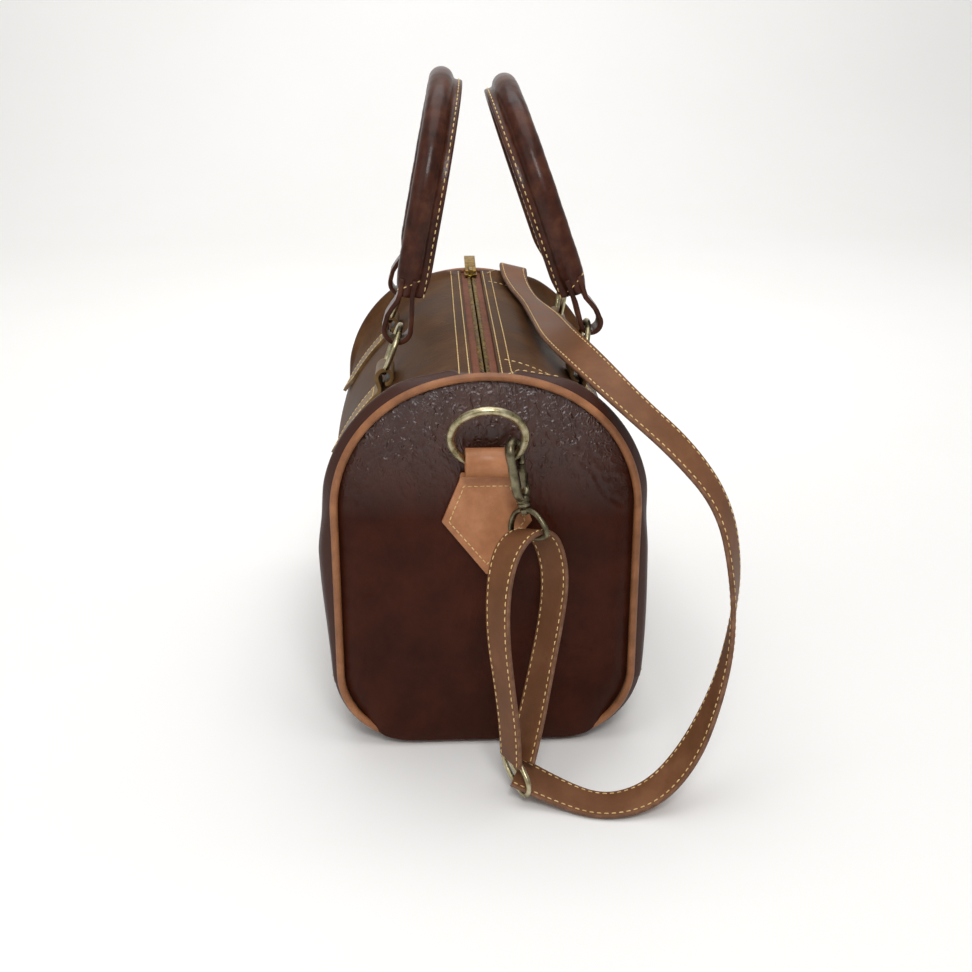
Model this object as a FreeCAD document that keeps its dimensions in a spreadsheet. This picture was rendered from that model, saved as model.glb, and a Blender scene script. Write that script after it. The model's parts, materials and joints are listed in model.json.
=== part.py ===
import FreeCAD, Part
import Sketcher
import math
import os

# Barrel bag in leather: +Z up, length along X, the end with the strap adjuster at +X, front at -Y
from FreeCAD import Matrix, Placement, Rotation, Vector

doc = FreeCAD.newDocument("barrel_bag")
sheet = doc.addObject("Spreadsheet::Sheet", "dims")

# Driving dimensions in millimetres and degrees
sizes = [
    ("bag_length", "290"),
    ("end_width", "170"),
    ("end_height", "221"),
    ("crown_radius", "=end_width * 10 / 17"),
    ("shoulder_radius", "=end_width * 38 / 85"),
    ("corner_radius", "=end_width * 49 / 170"),
    ("slack_crown", "=end_width * 7 / 17"),
    ("slack_shoulder", "=end_width * 11 / 17"),
    ("crown_drop", "4.5"),
    ("body_bulge", "5"),
    ("leather", "2.2"),
    ("lining", "0.8"),
    ("base_rise", "40"),
    ("panel_depth", "7"),
    ("panel_round", "4.5"),
    ("piping_diameter", "4.5"),
    ("board_depth", "2.5"),
    ("board_margin", "6"),
    ("mouth_width", "16"),
    ("flap_margin", "25"),
    ("flap_length", "=bag_length - 2 * flap_margin"),
    ("flex_line", "44"),
    ("cut_gap", "0.4"),
    ("flap_gap", "0.3"),
    ("tape_depth", "0.8"),
    ("tape_seat", "0.05"),
    ("tape_width", "28"),
    ("tape_gap", "2.8"),
    ("tooth_gap", "1.2"),
    ("tooth_pitch", "3"),
    ("tooth_length", "1.5"),
    ("tooth_width", "3"),
    ("tooth_height", "2.8"),
    ("slider_length", "11"),
    ("slider_width", "9"),
    ("slider_plate", "1.3"),
    ("slider_web", "0.6"),
    ("slider_gap", "0.25"),
    ("park_margin", "14"),
    ("slider_park", "=bag_length / 2 - park_margin"),
    ("bridge_rise", "2.4"),
    ("bridge_bar", "1.2"),
    ("bridge_width", "2.6"),
    ("pull_bar", "1.4"),
    ("pull_length", "26"),
    ("pull_width", "8"),
    ("pull_depth", "1.6"),
    ("pull_reach", "8"),
    ("pull_lift", "8"),
    ("stop_length", "2.2"),
    ("handle_spacing", "132"),
    ("handle_rise", "138"),
    ("handle_diameter", "15"),
    ("handle_core", "10"),
    ("handle_flange", "5"),
    ("flange_depth", "4"),
    ("handle_neck", "22"),
    ("neck_depth", "9"),
    ("handle_ring_bore", "26"),
    ("handle_ring_wire", "3.5"),
    ("handle_loop_width", "14"),
    ("handle_loop_wall", "5.5"),
    ("ring_gap", "0.3"),
    ("seat_gap", "0.1"),
    ("front_ring_lean", "21"),
    ("rear_ring_lean", "-10"),
    ("front_handle_lean", "11"),
    ("rear_handle_lean", "19.5"),
    ("chape_side", "58"),
    ("chape_depth", "2.2"),
    ("chape_width", "26"),
    ("chape_drop", "61"),
    ("chape_tip_height", "=end_height - chape_drop"),
    ("chape_point", "12"),
    ("tab_drop", "41"),
    ("tab_loop_height", "=end_height - tab_drop"),
    ("tab_loop_width", "21.4"),
    ("tab_loop_radius", "7"),
    ("tab_width", "54"),
    ("tab_flare", "35"),
    ("tab_point", "32"),
    ("tab_wide_height", "=tab_loop_height - tab_flare"),
    ("tab_tip_height", "=tab_wide_height - tab_point"),
    ("tab_depth", "2.4"),
    ("end_ring_bore", "35.5"),
    ("end_ring_wire", "4.5"),
    ("end_ring_lean", "26"),
    ("hook_turn", "42"),
    ("hook_out", "0.12"),
    ("hook_side", "0.175"),
    ("hook_depth", "5"),
    ("hook_bar", "4"),
    ("hook_slot", "8.5"),
    ("hook_bowl", "6"),
    ("hook_reach", "22"),
    ("gate_top", "6.5"),
    ("gate_pivot", "20"),
    ("gate_bar", "3"),
    ("gate_depth", "3.2"),
    ("gate_gap", "0.3"),
    ("gate_knob", "1.6"),
    ("pin_diameter", "2"),
    ("pin_gap", "0.05"),
    ("spring_depth", "0.5"),
    ("collar_diameter", "8"),
    ("collar_length", "7"),
    ("post_diameter", "3.4"),
    ("post_head", "5.2"),
    ("head_depth", "1.4"),
    ("eye_bore_width", "21.5"),
    ("eye_bore_height", "9"),
    ("eye_wire", "3"),
    ("eye_turn", "49"),
    ("strap_width", "20"),
    ("strap_depth", "2.8"),
    ("adjuster_width", "31"),
    ("adjuster_height", "19"),
    ("adjuster_wire", "3"),
    ("adjuster_bar_diameter", "2.8"),
]
for row, (alias, text) in enumerate(sizes, 1):
    sheet.set(f"A{row}", alias)
    sheet.set(f"B{row}", text)
    sheet.setAlias(f"B{row}", alias)
doc.recompute()

# Far reach of a cutting block, beyond the bag on every side
REACH = 400


def size(alias):
    return float(sheet.get(alias))


def bind(obj, **expressions):
    for name, text in expressions.items():
        obj.setExpression(name, text)


# A block or round bar is placed by formulas, or inside a frame that carries it
def box(name, xs, ys, zs, frame=None):
    block = doc.addObject("Part::Box", name)
    for side, (low, high) in zip(("Length", "Width", "Height"), (xs, ys, zs)):
        block.setExpression(side, f"({high}) - ({low})")
    set_place(block, [low for low, high in (xs, ys, zs)], Rotation(), frame)
    return block


def set_place(obj, start, turn, frame):
    if frame:
        obj.Placement = frame.multiply(Placement(Vector(*(sheet_value(text) for text in start)), turn))
        return
    obj.Placement.Rotation = turn
    for axis, text in zip("xyz", start):
        obj.setExpression(f"Placement.Base.{axis}", text)


def cylinder(name, radius, height, direction, start, frame=None):
    round_bar = doc.addObject("Part::Cylinder", name)
    bind(round_bar, Radius=radius, Height=height)
    set_place(round_bar, start, Rotation(Vector(0, 0, 1), direction), frame)
    return round_bar


def torus(name, large, small, direction):
    ring = doc.addObject("Part::Torus", name)
    bind(ring, Radius1=large, Radius2=small)
    ring.Placement.Rotation = Rotation(Vector(0, 0, 1), direction)
    return ring


def cut(name, base, tool):
    result = doc.addObject("Part::Cut", name)
    result.Base = base
    result.Tool = tool
    return result


def common(name, base, tool):
    result = doc.addObject("Part::Common", name)
    result.Base = base
    result.Tool = tool
    return result


def fuse(name, *shapes):
    result = doc.addObject("Part::MultiFuse", name)
    result.Shapes = list(shapes)
    return result


def new_body(name):
    return doc.addObject("PartDesign::Body", name)


def new_sketch(body, name, role, offset="0"):
    sketch = body.newObject("Sketcher::SketchObject", name)
    plane = next(f for f in body.Origin.OriginFeatures if f.Role == role)
    sketch.AttachmentSupport = [(plane, "")]
    sketch.MapMode = "FlatFace"
    sketch.setExpression("AttachmentOffset.Base.z", offset)
    return sketch


def new_pad(body, sketch, length, symmetric=False):
    pad = body.newObject("PartDesign::Pad", sketch.Name + "_pad")
    pad.Profile = sketch
    pad.SideType = "Symmetric" if symmetric else "One side"
    pad.setExpression("Length", length)
    return pad


# Centre of a shoulder arc that meets the upright side and the crown
def shoulder_centre(shoulder, crown, crown_z):
    across = size("end_width") / 2 - shoulder
    rise = math.sqrt((crown - shoulder) ** 2 - across ** 2)
    return across, crown_z + math.copysign(rise, crown - shoulder)


# Closed outline of the bag's end: flat base, round corners, upright sides, shoulders and crown.
# It stands off the seam line by `grow`, so every layer of the bag shares the same arc centres.
# The body hangs slack between its ends, so its crown is lower and tighter and its shoulders are flatter.
def arch_outline(sketch, grow, offset, slack=False):
    half = size("end_width") / 2
    shoulder_name = "slack_shoulder" if slack else "shoulder_radius"
    crown_name = "slack_crown" if slack else "crown_radius"
    drop = "dims.crown_drop" if slack else "0"
    corner, shoulder, crown = size("corner_radius"), size(shoulder_name), size(crown_name)
    base = size("body_bulge")
    corner_y, corner_z = half - corner, base + corner
    crown_z = base + size("end_height") - crown - sheet_value(drop)
    shoulder_y, shoulder_z = shoulder_centre(shoulder, crown, crown_z)
    beyond = math.copysign(1, crown - shoulder)
    turn = math.atan2(beyond * (shoulder_z - crown_z), beyond * shoulder_y)
    side = half + offset

    def arc(y, z, radius, first, last):
        circle = Part.Circle(Vector(y, z, 0), Vector(0, 0, 1), radius + offset)
        return Part.ArcOfCircle(circle, first, last)

    def line(y0, z0, y1, z1):
        return Part.LineSegment(Vector(y0, z0, 0), Vector(y1, z1, 0))

    right_angle = math.pi / 2
    sketch.addGeometry([
        line(-corner_y, base - offset, corner_y, base - offset),
        arc(corner_y, corner_z, corner, -right_angle, 0),
        line(side, corner_z, side, shoulder_z),
        arc(shoulder_y, shoulder_z, shoulder, 0, turn),
        arc(0, crown_z, crown, turn, math.pi - turn),
        arc(-shoulder_y, shoulder_z, shoulder, math.pi - turn, math.pi),
        line(-side, shoulder_z, -side, corner_z),
        arc(-corner_y, corner_z, corner, math.pi, 3 * right_angle),
    ], False)
    for edge in range(8):
        sketch.addConstraint(Sketcher.Constraint("Tangent", edge, 2, (edge + 1) % 8, 1))
    sketch.addConstraint([
        Sketcher.Constraint("Horizontal", 0),
        Sketcher.Constraint("Vertical", 2),
        Sketcher.Constraint("Vertical", 6),
        Sketcher.Constraint("Equal", 1, 7),
        Sketcher.Constraint("Equal", 3, 5),
        Sketcher.Constraint("PointOnObject", 4, 3, -2),
    ])
    driven = [
        (Sketcher.Constraint("Radius", 1, corner + offset), f"dims.corner_radius + ({grow})"),
        (Sketcher.Constraint("Radius", 3, shoulder + offset), f"dims.{shoulder_name} + ({grow})"),
        (Sketcher.Constraint("Radius", 4, crown + offset), f"dims.{crown_name} + ({grow})"),
        (Sketcher.Constraint("DistanceX", -1, 1, 1, 3, corner_y), "dims.end_width / 2 - dims.corner_radius"),
        (Sketcher.Constraint("DistanceX", 7, 3, -1, 1, corner_y), "dims.end_width / 2 - dims.corner_radius"),
        (Sketcher.Constraint("DistanceY", -1, 1, 1, 3, corner_z), "dims.body_bulge + dims.corner_radius"),
        (Sketcher.Constraint("DistanceY", -1, 1, 4, 3, crown_z),
         f"dims.body_bulge + dims.end_height - dims.{crown_name} - {drop}"),
    ]
    for constraint, text in driven:
        index = sketch.addConstraint(constraint)
        sketch.setExpression(f"Constraints[{index}]", text)


# A closed polygon whose corners are bound to the sheet, as distances from the sketch origin
def polygon(sketch, corners):
    places = [(sheet_value(a), sheet_value(b)) for a, b in corners]
    count = len(places)
    for index, (a, b) in enumerate(places):
        next_a, next_b = places[(index + 1) % count]
        sketch.addGeometry(Part.LineSegment(Vector(a, b, 0), Vector(next_a, next_b, 0)), False)
    for index in range(count):
        sketch.addConstraint(Sketcher.Constraint("Coincident", index, 2, (index + 1) % count, 1))
    for index, (a, b) in enumerate(corners):
        place_on_axis(sketch, "DistanceX", index, a, places[index][0])
        place_on_axis(sketch, "DistanceY", index, b, places[index][1])


def place_on_axis(sketch, kind, edge, text, value):
    if value > 0:
        index = sketch.addConstraint(Sketcher.Constraint(kind, -1, 1, edge, 1, value))
        sketch.setExpression(f"Constraints[{index}]", text)
    elif value < 0:
        index = sketch.addConstraint(Sketcher.Constraint(kind, edge, 1, -1, 1, -value))
        sketch.setExpression(f"Constraints[{index}]", f"-({text})")
    else:
        axis = -2 if kind == "DistanceX" else -1
        sketch.addConstraint(Sketcher.Constraint("PointOnObject", edge, 1, axis))


# Number that a sheet formula gives, for the first drawing of a sketch
def sheet_value(text):
    return float(sheet.evalExpression(text))


def layer_tube(name, outer, inner, length):
    body = new_body(name)
    outside = new_sketch(body, name + "_outside", "YZ_Plane")
    arch_outline(outside, outer, sheet_value(outer), slack=True)
    new_pad(body, outside, length, symmetric=True)
    inside = new_sketch(body, name + "_inside", "YZ_Plane")
    arch_outline(inside, inner, sheet_value(inner), slack=True)
    pocket = body.newObject("PartDesign::Pocket", name + "_hollow")
    pocket.Profile = inside
    pocket.SideType = "Symmetric"
    pocket.setExpression("Length", f"{length} + 2")
    return body


def arch_plate(name, grow, low, depth, slack=False):
    body = new_body(name)
    outline = new_sketch(body, name + "_outline", "YZ_Plane", low)
    arch_outline(outline, grow, sheet_value(grow), slack)
    new_pad(body, outline, depth)
    return body


nodes = {}


def node(label, obj):
    obj.Label = label
    nodes[label] = obj
    return obj


SKIN = "dims.body_bulge"
UNDER = "dims.body_bulge - dims.leather"
LINED = "dims.body_bulge - dims.leather - dims.lining"
TAPE_TOP = "dims.body_bulge - dims.leather - dims.tape_seat"
TAPED = "dims.body_bulge - dims.leather - dims.tape_depth"
INSIDE_LENGTH = "dims.bag_length - dims.piping_diameter"
MOUTH = "dims.mouth_width / 2"
TAPE_EDGE = "dims.tape_width / 2"
FLAP_END = "dims.flap_length / 2"
FLAP_ROOM = "dims.flap_length / 2 + dims.cut_gap"
MID_HEIGHT = "dims.end_height / 2"
WHOLE = (f"-{REACH}", f"{REACH}")


# Leather body, in a base, two sides and the front of the mouth, which folds at the flex line
leather_tube = layer_tube("leather_tube", SKIN, UNDER, INSIDE_LENGTH)
base_block = box("base_block", WHOLE, WHOLE, ("-1", "dims.base_rise"))
node("base_panel", common("base_common", leather_tube, base_block))
above_base = ("dims.base_rise", f"{REACH}")
upper = (MID_HEIGHT, f"{REACH}")
rear_block = box("rear_block", WHOLE, (MOUTH, f"{REACH}"), above_base)
node("rear_panel", common("rear_common", leather_tube, rear_block))
front_block = box("front_block", WHOLE, (f"-{REACH}", f"-{MOUTH}"), above_base)
front_side = common("front_common", leather_tube, front_block)
front_room = box("front_room", (f"-({FLAP_ROOM})", FLAP_ROOM), ("-dims.flex_line", "0"), upper)
node("front_panel", cut("front_cut", front_side, front_room))
FLAP_EDGE = "-dims.flex_line + dims.flap_gap"
flap_block = box("flap_block", (f"-({FLAP_END})", FLAP_END), (FLAP_EDGE, f"-{MOUTH}"), upper)
node("front_mouth_flap", common("flap_common", leather_tube, flap_block))

# Lining behind the leather, open along the zip
lining_tube = layer_tube("lining_tube", UNDER, LINED, INSIDE_LENGTH)
lining_room = box("lining_room", (f"-({FLAP_ROOM})", FLAP_ROOM), ("-dims.flex_line", "0"), upper)
zip_room = box("zip_room", WHOLE, (f"-({TAPE_EDGE} + dims.flap_gap)", f"{TAPE_EDGE} + dims.flap_gap"), upper)
node("body_lining", cut("lining_cut", lining_tube, fuse("lining_rooms", lining_room, zip_room)))
flap_lining_block = box("flap_lining_block", (f"-({FLAP_END})", FLAP_END),
                        (FLAP_EDGE, f"-({TAPE_EDGE} + dims.flap_gap)"), upper)
node("flap_lining", common("flap_lining_common", lining_tube, flap_lining_block))

# Stiff board that lies on the lined base
BOARD_HALF = "dims.bag_length / 2 - dims.board_margin"
BOARD_SIDE = "dims.end_width / 2 - dims.corner_radius - 1"
BOARD_LOW = "dims.leather + dims.lining"
node("base_board", box("base_board", (f"-({BOARD_HALF})", BOARD_HALF), (f"-({BOARD_SIDE})", BOARD_SIDE),
                       (BOARD_LOW, f"{BOARD_LOW} + dims.board_depth")))

# Zip tapes, sewn under the mouth edges; the ends past the flap stay with the body
tape_tube = layer_tube("tape_tube", TAPE_TOP, TAPED, INSIDE_LENGTH)
TAPE_INNER = "dims.tape_gap / 2"
flap_span = (f"-({FLAP_END})", FLAP_END)
rear_span = (f"-({FLAP_ROOM})", FLAP_ROOM)
node("front_zip_tape", common("front_tape_common", tape_tube,
     box("front_tape_block", flap_span, (f"-({TAPE_EDGE})", f"-({TAPE_INNER})"), upper)))
node("rear_zip_tape", common("rear_tape_common", tape_tube,
     box("rear_tape_block", rear_span, (TAPE_INNER, TAPE_EDGE), upper)))
for end, sign in (("near", 1), ("far", -1)):
    span = (FLAP_ROOM, f"{REACH}") if sign > 0 else (f"-{REACH}", f"-({FLAP_ROOM})")
    strip_block = box(f"{end}_strip_block", span, (f"-({TAPE_EDGE})", TAPE_EDGE), upper)
    end_strip = common(f"{end}_strip", tape_tube, strip_block)
    slot = box(f"{end}_strip_slot", WHOLE, (f"-({TAPE_INNER})", TAPE_INNER), upper)
    node(f"{end}_zip_end", cut(f"{end}_strip_cut", end_strip, slot))

# Height of the zip: the tape's middle at the top of the crown
CROWN_TOP = "dims.end_height + 2 * dims.body_bulge - dims.crown_drop"
TAPE_MID = f"{CROWN_TOP} - dims.leather - dims.tape_depth / 2"
TOOTH_LOW = f"{TAPE_MID} - dims.tooth_height / 2"
TOOTH_HIGH = f"{TAPE_MID} + dims.tooth_height / 2"


# One row of teeth, each a solid of its own that clasps the tape's edge
def tooth_row(name, first, side):
    body = new_body(name)
    low, high = ("dims.tooth_gap / 2", "dims.tooth_gap / 2 + dims.tooth_width")
    across = (low, high) if side > 0 else (f"-({high})", f"-({low})")
    along = (first, f"{first} + dims.tooth_length")
    tooth = new_sketch(body, name + "_tooth", "XY_Plane", TOOTH_LOW)
    polygon(tooth, [(along[0], across[0]), (along[1], across[0]),
                    (along[1], across[1]), (along[0], across[1])])
    pad = new_pad(body, tooth, "dims.tooth_height")
    pattern = body.newObject("PartDesign::LinearPattern", name + "_row")
    pattern.Originals = [pad]
    pattern.Direction = (next(f for f in body.Origin.OriginFeatures if f.Role == "X_Axis"), [""])
    pattern.Mode = "Spacing"
    pattern.setExpression("Offset", "dims.tooth_pitch")
    pattern.setExpression("Occurrences", "floor(dims.flap_length / dims.tooth_pitch)")
    body.Tip = pattern
    return body


FIRST_TOOTH = f"-({FLAP_END}) + dims.cut_gap"
rear_first = f"{FIRST_TOOTH} + dims.tooth_pitch / 2 - dims.tooth_length / 4"
for side, first, sign in (("front", FIRST_TOOTH, -1), ("rear", rear_first, 1)):
    row = tooth_row(f"{side}_teeth", first, sign)
    node(f"{side}_zip_teeth", cut(f"{side}_teeth_cut", row, nodes[f"{side}_zip_tape"]))

# Stops clamped on the tape at both ends of the zip, just past the parked slider
STOP_FAR = "dims.slider_park + dims.slider_length / 2 + dims.slider_gap"
for end, sign in (("near", 1), ("far", -1)):
    low, high = (STOP_FAR, f"{STOP_FAR} + dims.stop_length")
    along = (low, high) if sign > 0 else (f"-({high})", f"-({low})")
    clamp = box(f"{end}_stop_block", along, ("-dims.tooth_width", "dims.tooth_width"),
                (TOOTH_LOW, TOOTH_HIGH))
    node(f"{end}_zip_stop", cut(f"{end}_stop_cut", clamp, nodes[f"{end}_zip_end"]))

# Slider, parked at the far end: two plates joined by a web, and a bridge that holds the pull
PARK = "-dims.slider_park"
SLIDER_LOW = f"{TOOTH_LOW} - dims.slider_gap"
SLIDER_HIGH = f"{TOOTH_HIGH} + dims.slider_gap"
plate_along = (f"{PARK} - dims.slider_length / 2", f"{PARK} + dims.slider_length / 2")
plate_across = ("-dims.slider_width / 2", "dims.slider_width / 2")
SLIDER_TOP = f"{SLIDER_HIGH} + dims.slider_plate"
PULL_AXIS = f"{SLIDER_TOP} + dims.ring_gap + dims.pull_bar / 2"
BRIDGE_LOW = f"{SLIDER_TOP} + dims.bridge_rise"
bridge_across = ("-dims.bridge_width / 2", "dims.bridge_width / 2")
slider_parts = [
    box("slider_upper", plate_along, plate_across, (SLIDER_HIGH, SLIDER_TOP)),
    box("slider_lower", plate_along, plate_across, (f"{SLIDER_LOW} - dims.slider_plate", SLIDER_LOW)),
    box("slider_web", plate_along, ("-dims.slider_web / 2", "dims.slider_web / 2"),
        (SLIDER_LOW, SLIDER_HIGH)),
    box("bridge_top", plate_along, bridge_across, (BRIDGE_LOW, f"{BRIDGE_LOW} + dims.bridge_bar")),
]
for name, edge, step in (("bridge_far", plate_along[0], 1), ("bridge_near", plate_along[1], -1)):
    inner = f"{edge} + {step} * dims.bridge_bar"
    along = (edge, inner) if step > 0 else (inner, edge)
    slider_parts.append(box(name, along, bridge_across, (SLIDER_TOP, f"{BRIDGE_LOW} + dims.bridge_bar")))
node("zip_slider", fuse("slider_fuse", *slider_parts))

# Pull: a bar under the bridge, two arms and a tongue that lies over the far end
ARM = "dims.bridge_width / 2 + dims.ring_gap"
pull_heights = (f"{PULL_AXIS} - dims.pull_depth / 2", f"{PULL_AXIS} + dims.pull_depth / 2")
pull_parts = [
    cylinder("pull_pin", "dims.pull_bar / 2", f"2 * ({ARM}) + 2", Vector(0, 1, 0),
             (PARK, f"-({ARM}) - 1", PULL_AXIS)),
    box("pull_tongue", (f"{PARK} - dims.pull_reach - dims.pull_length", f"{PARK} - dims.pull_reach"),
        ("-dims.pull_width / 2", "dims.pull_width / 2"), pull_heights),
]
for name, across in (("pull_arm_front", ("-dims.pull_width / 2", f"-({ARM})")),
                     ("pull_arm_rear", (ARM, "dims.pull_width / 2"))):
    arm_along = (f"{PARK} - dims.pull_reach", f"{PARK} + dims.pull_bar / 2")
    arm_heights = (f"{PULL_AXIS} - dims.pull_bar / 2", f"{PULL_AXIS} + dims.pull_bar / 2")
    pull_parts.append(box(name, arm_along, across, arm_heights))
# The pull's tip is lifted clear of the far piping
pull = fuse("pull_fuse", *pull_parts)
pull_pivot = Vector(sheet_value(PARK), 0, sheet_value(PULL_AXIS))
pull.Placement = Placement(Vector(), Rotation(Vector(0, 1, 0), size("pull_lift")), pull_pivot)
node("zip_pull", pull)

# End panels with a rounded edge, the piping round them and the lining behind
PANEL_IN = "dims.bag_length / 2 - dims.piping_diameter / 2"
mirror_ends = Rotation(Vector(0, 0, 1), 180)
for end, turn in (("near", Rotation()), ("far", mirror_ends)):
    panel = arch_plate(f"{end}_panel", "-dims.piping_diameter / 2", PANEL_IN, "dims.panel_depth")
    doc.recompute()
    outer_x = sheet_value(f"{PANEL_IN} + dims.panel_depth")
    rim = [f"Edge{i}" for i, edge in enumerate(panel.Shape.Edges, 1)
           if all(abs(v.X - outer_x) < 1e-6 for v in edge.Vertexes)]
    plate = panel.Tip
    rounding = panel.newObject("PartDesign::Fillet", f"{end}_panel_round")
    rounding.Base = (plate, rim)
    rounding.setExpression("Radius", "dims.panel_round")
    panel.Tip = rounding
    panel.Placement.Rotation = turn
    node(f"{end}_end_panel", panel)

    backing = arch_plate(f"{end}_backing", LINED, f"{PANEL_IN} - dims.lining", "dims.lining", slack=True)
    backing.Placement.Rotation = turn
    node(f"{end}_end_lining", backing)

    piping = new_body(f"{end}_piping_body")
    seam = new_sketch(piping, f"{end}_seam", "YZ_Plane", "dims.bag_length / 2")
    arch_outline(seam, "0", 0)
    section = new_sketch(piping, f"{end}_piping_section", "XZ_Plane", "0")
    section.addGeometry(Part.Circle(Vector(size("bag_length") / 2, size("body_bulge"), 0), Vector(0, 0, 1),
                                    size("piping_diameter") / 2), False)
    for constraint, text in (
            (Sketcher.Constraint("Diameter", 0, size("piping_diameter")), "dims.piping_diameter"),
            (Sketcher.Constraint("DistanceX", -1, 1, 0, 3, size("bag_length") / 2), "dims.bag_length / 2"),
            (Sketcher.Constraint("DistanceY", -1, 1, 0, 3, size("body_bulge")), "dims.body_bulge")):
        index = section.addConstraint(constraint)
        section.setExpression(f"Constraints[{index}]", text)
    pipe = piping.newObject("PartDesign::AdditivePipe", f"{end}_piping_pipe")
    pipe.Profile = section
    pipe.Spine = (seam, [f"Edge{i}" for i in range(1, 9)])
    piping.Placement.Rotation = turn
    node(f"{end}_piping", piping)


# A leather loop round a ring's wire. Its hole flares with the ring's curve, so that the ring can swing.
def flared_loop(name, solid, mean_radius, wire, direction):
    throat = torus(name + "_throat", f"{mean_radius} + dims.ring_gap", f"{mean_radius} - {wire} / 2",
                   direction)
    return common(name, solid, throat)


HANDLE_RING = "(dims.handle_ring_bore + dims.handle_ring_wire) / 2"
LOOP_HALF = "dims.handle_loop_width / 2"
handle_ring_radius = sheet_value(HANDLE_RING)
along_x = Vector(1, 0, 0)
along_y = Vector(0, 1, 0)


# Chape axis beside the shoulder: the loop rests on the shoulder's leather
def chape_axis():
    shoulder, crown = size("slack_shoulder"), size("slack_crown")
    crown_z = size("body_bulge") + size("end_height") - crown - size("crown_drop")
    centre_y, centre_z = shoulder_centre(shoulder, crown, crown_z)
    reach = shoulder + size("body_bulge") + size("handle_loop_wall") + size("seat_gap")
    return math.sqrt(reach ** 2 - (size("chape_side") - centre_y) ** 2) + centre_z


chape_z = chape_axis()
ring_span = 2 * handle_ring_radius
chape_tube = layer_tube("chape_tube", f"{SKIN} + dims.chape_depth", SKIN, "dims.bag_length")
HALF_CHAPE = "dims.chape_width / 2"
for side, sign in (("front", -1), ("rear", 1)):
    for end, along in (("near", 1), ("far", -1)):
        name = f"{side}_{end}"
        middle = f"{along} * dims.handle_spacing / 2"
        outline_body = new_body(f"{name}_chape_outline")
        outline = new_sketch(outline_body, f"{name}_chape_sketch", "XZ_Plane")
        chape_top = str(round(chape_z, 4))
        shoulder_level = "dims.chape_tip_height + dims.chape_point"
        polygon(outline, [(middle, "dims.chape_tip_height"), (f"{middle} + {HALF_CHAPE}", shoulder_level),
                          (f"{middle} + {HALF_CHAPE}", chape_top), (f"{middle} - {HALF_CHAPE}", chape_top),
                          (f"{middle} - {HALF_CHAPE}", shoulder_level)])
        pad = new_pad(outline_body, outline, f"{REACH}")
        pad.Reversed = sign > 0
        plate = common(f"{name}_chape_plate", chape_tube, outline_body)
        roll = cylinder(f"{name}_chape_roll", "dims.handle_loop_wall", "dims.handle_loop_width", along_x,
                        (f"-{LOOP_HALF}", "0", "0"))
        loop = flared_loop(f"{name}_chape_loop", roll, HANDLE_RING, "dims.handle_ring_wire", along_x)
        loop.Placement.Base = Vector(along * size("handle_spacing") / 2, sign * size("chape_side"), chape_z)
        bore = cylinder(f"{name}_chape_bore", "dims.handle_loop_wall", "dims.handle_loop_width", along_x,
                        (f"{middle} - {LOOP_HALF}", f"{sign} * dims.chape_side", chape_top))
        node(f"{name}_chape", fuse(f"{name}_chape_fuse", cut(f"{name}_chape_seat", plate, bore), loop))

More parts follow.
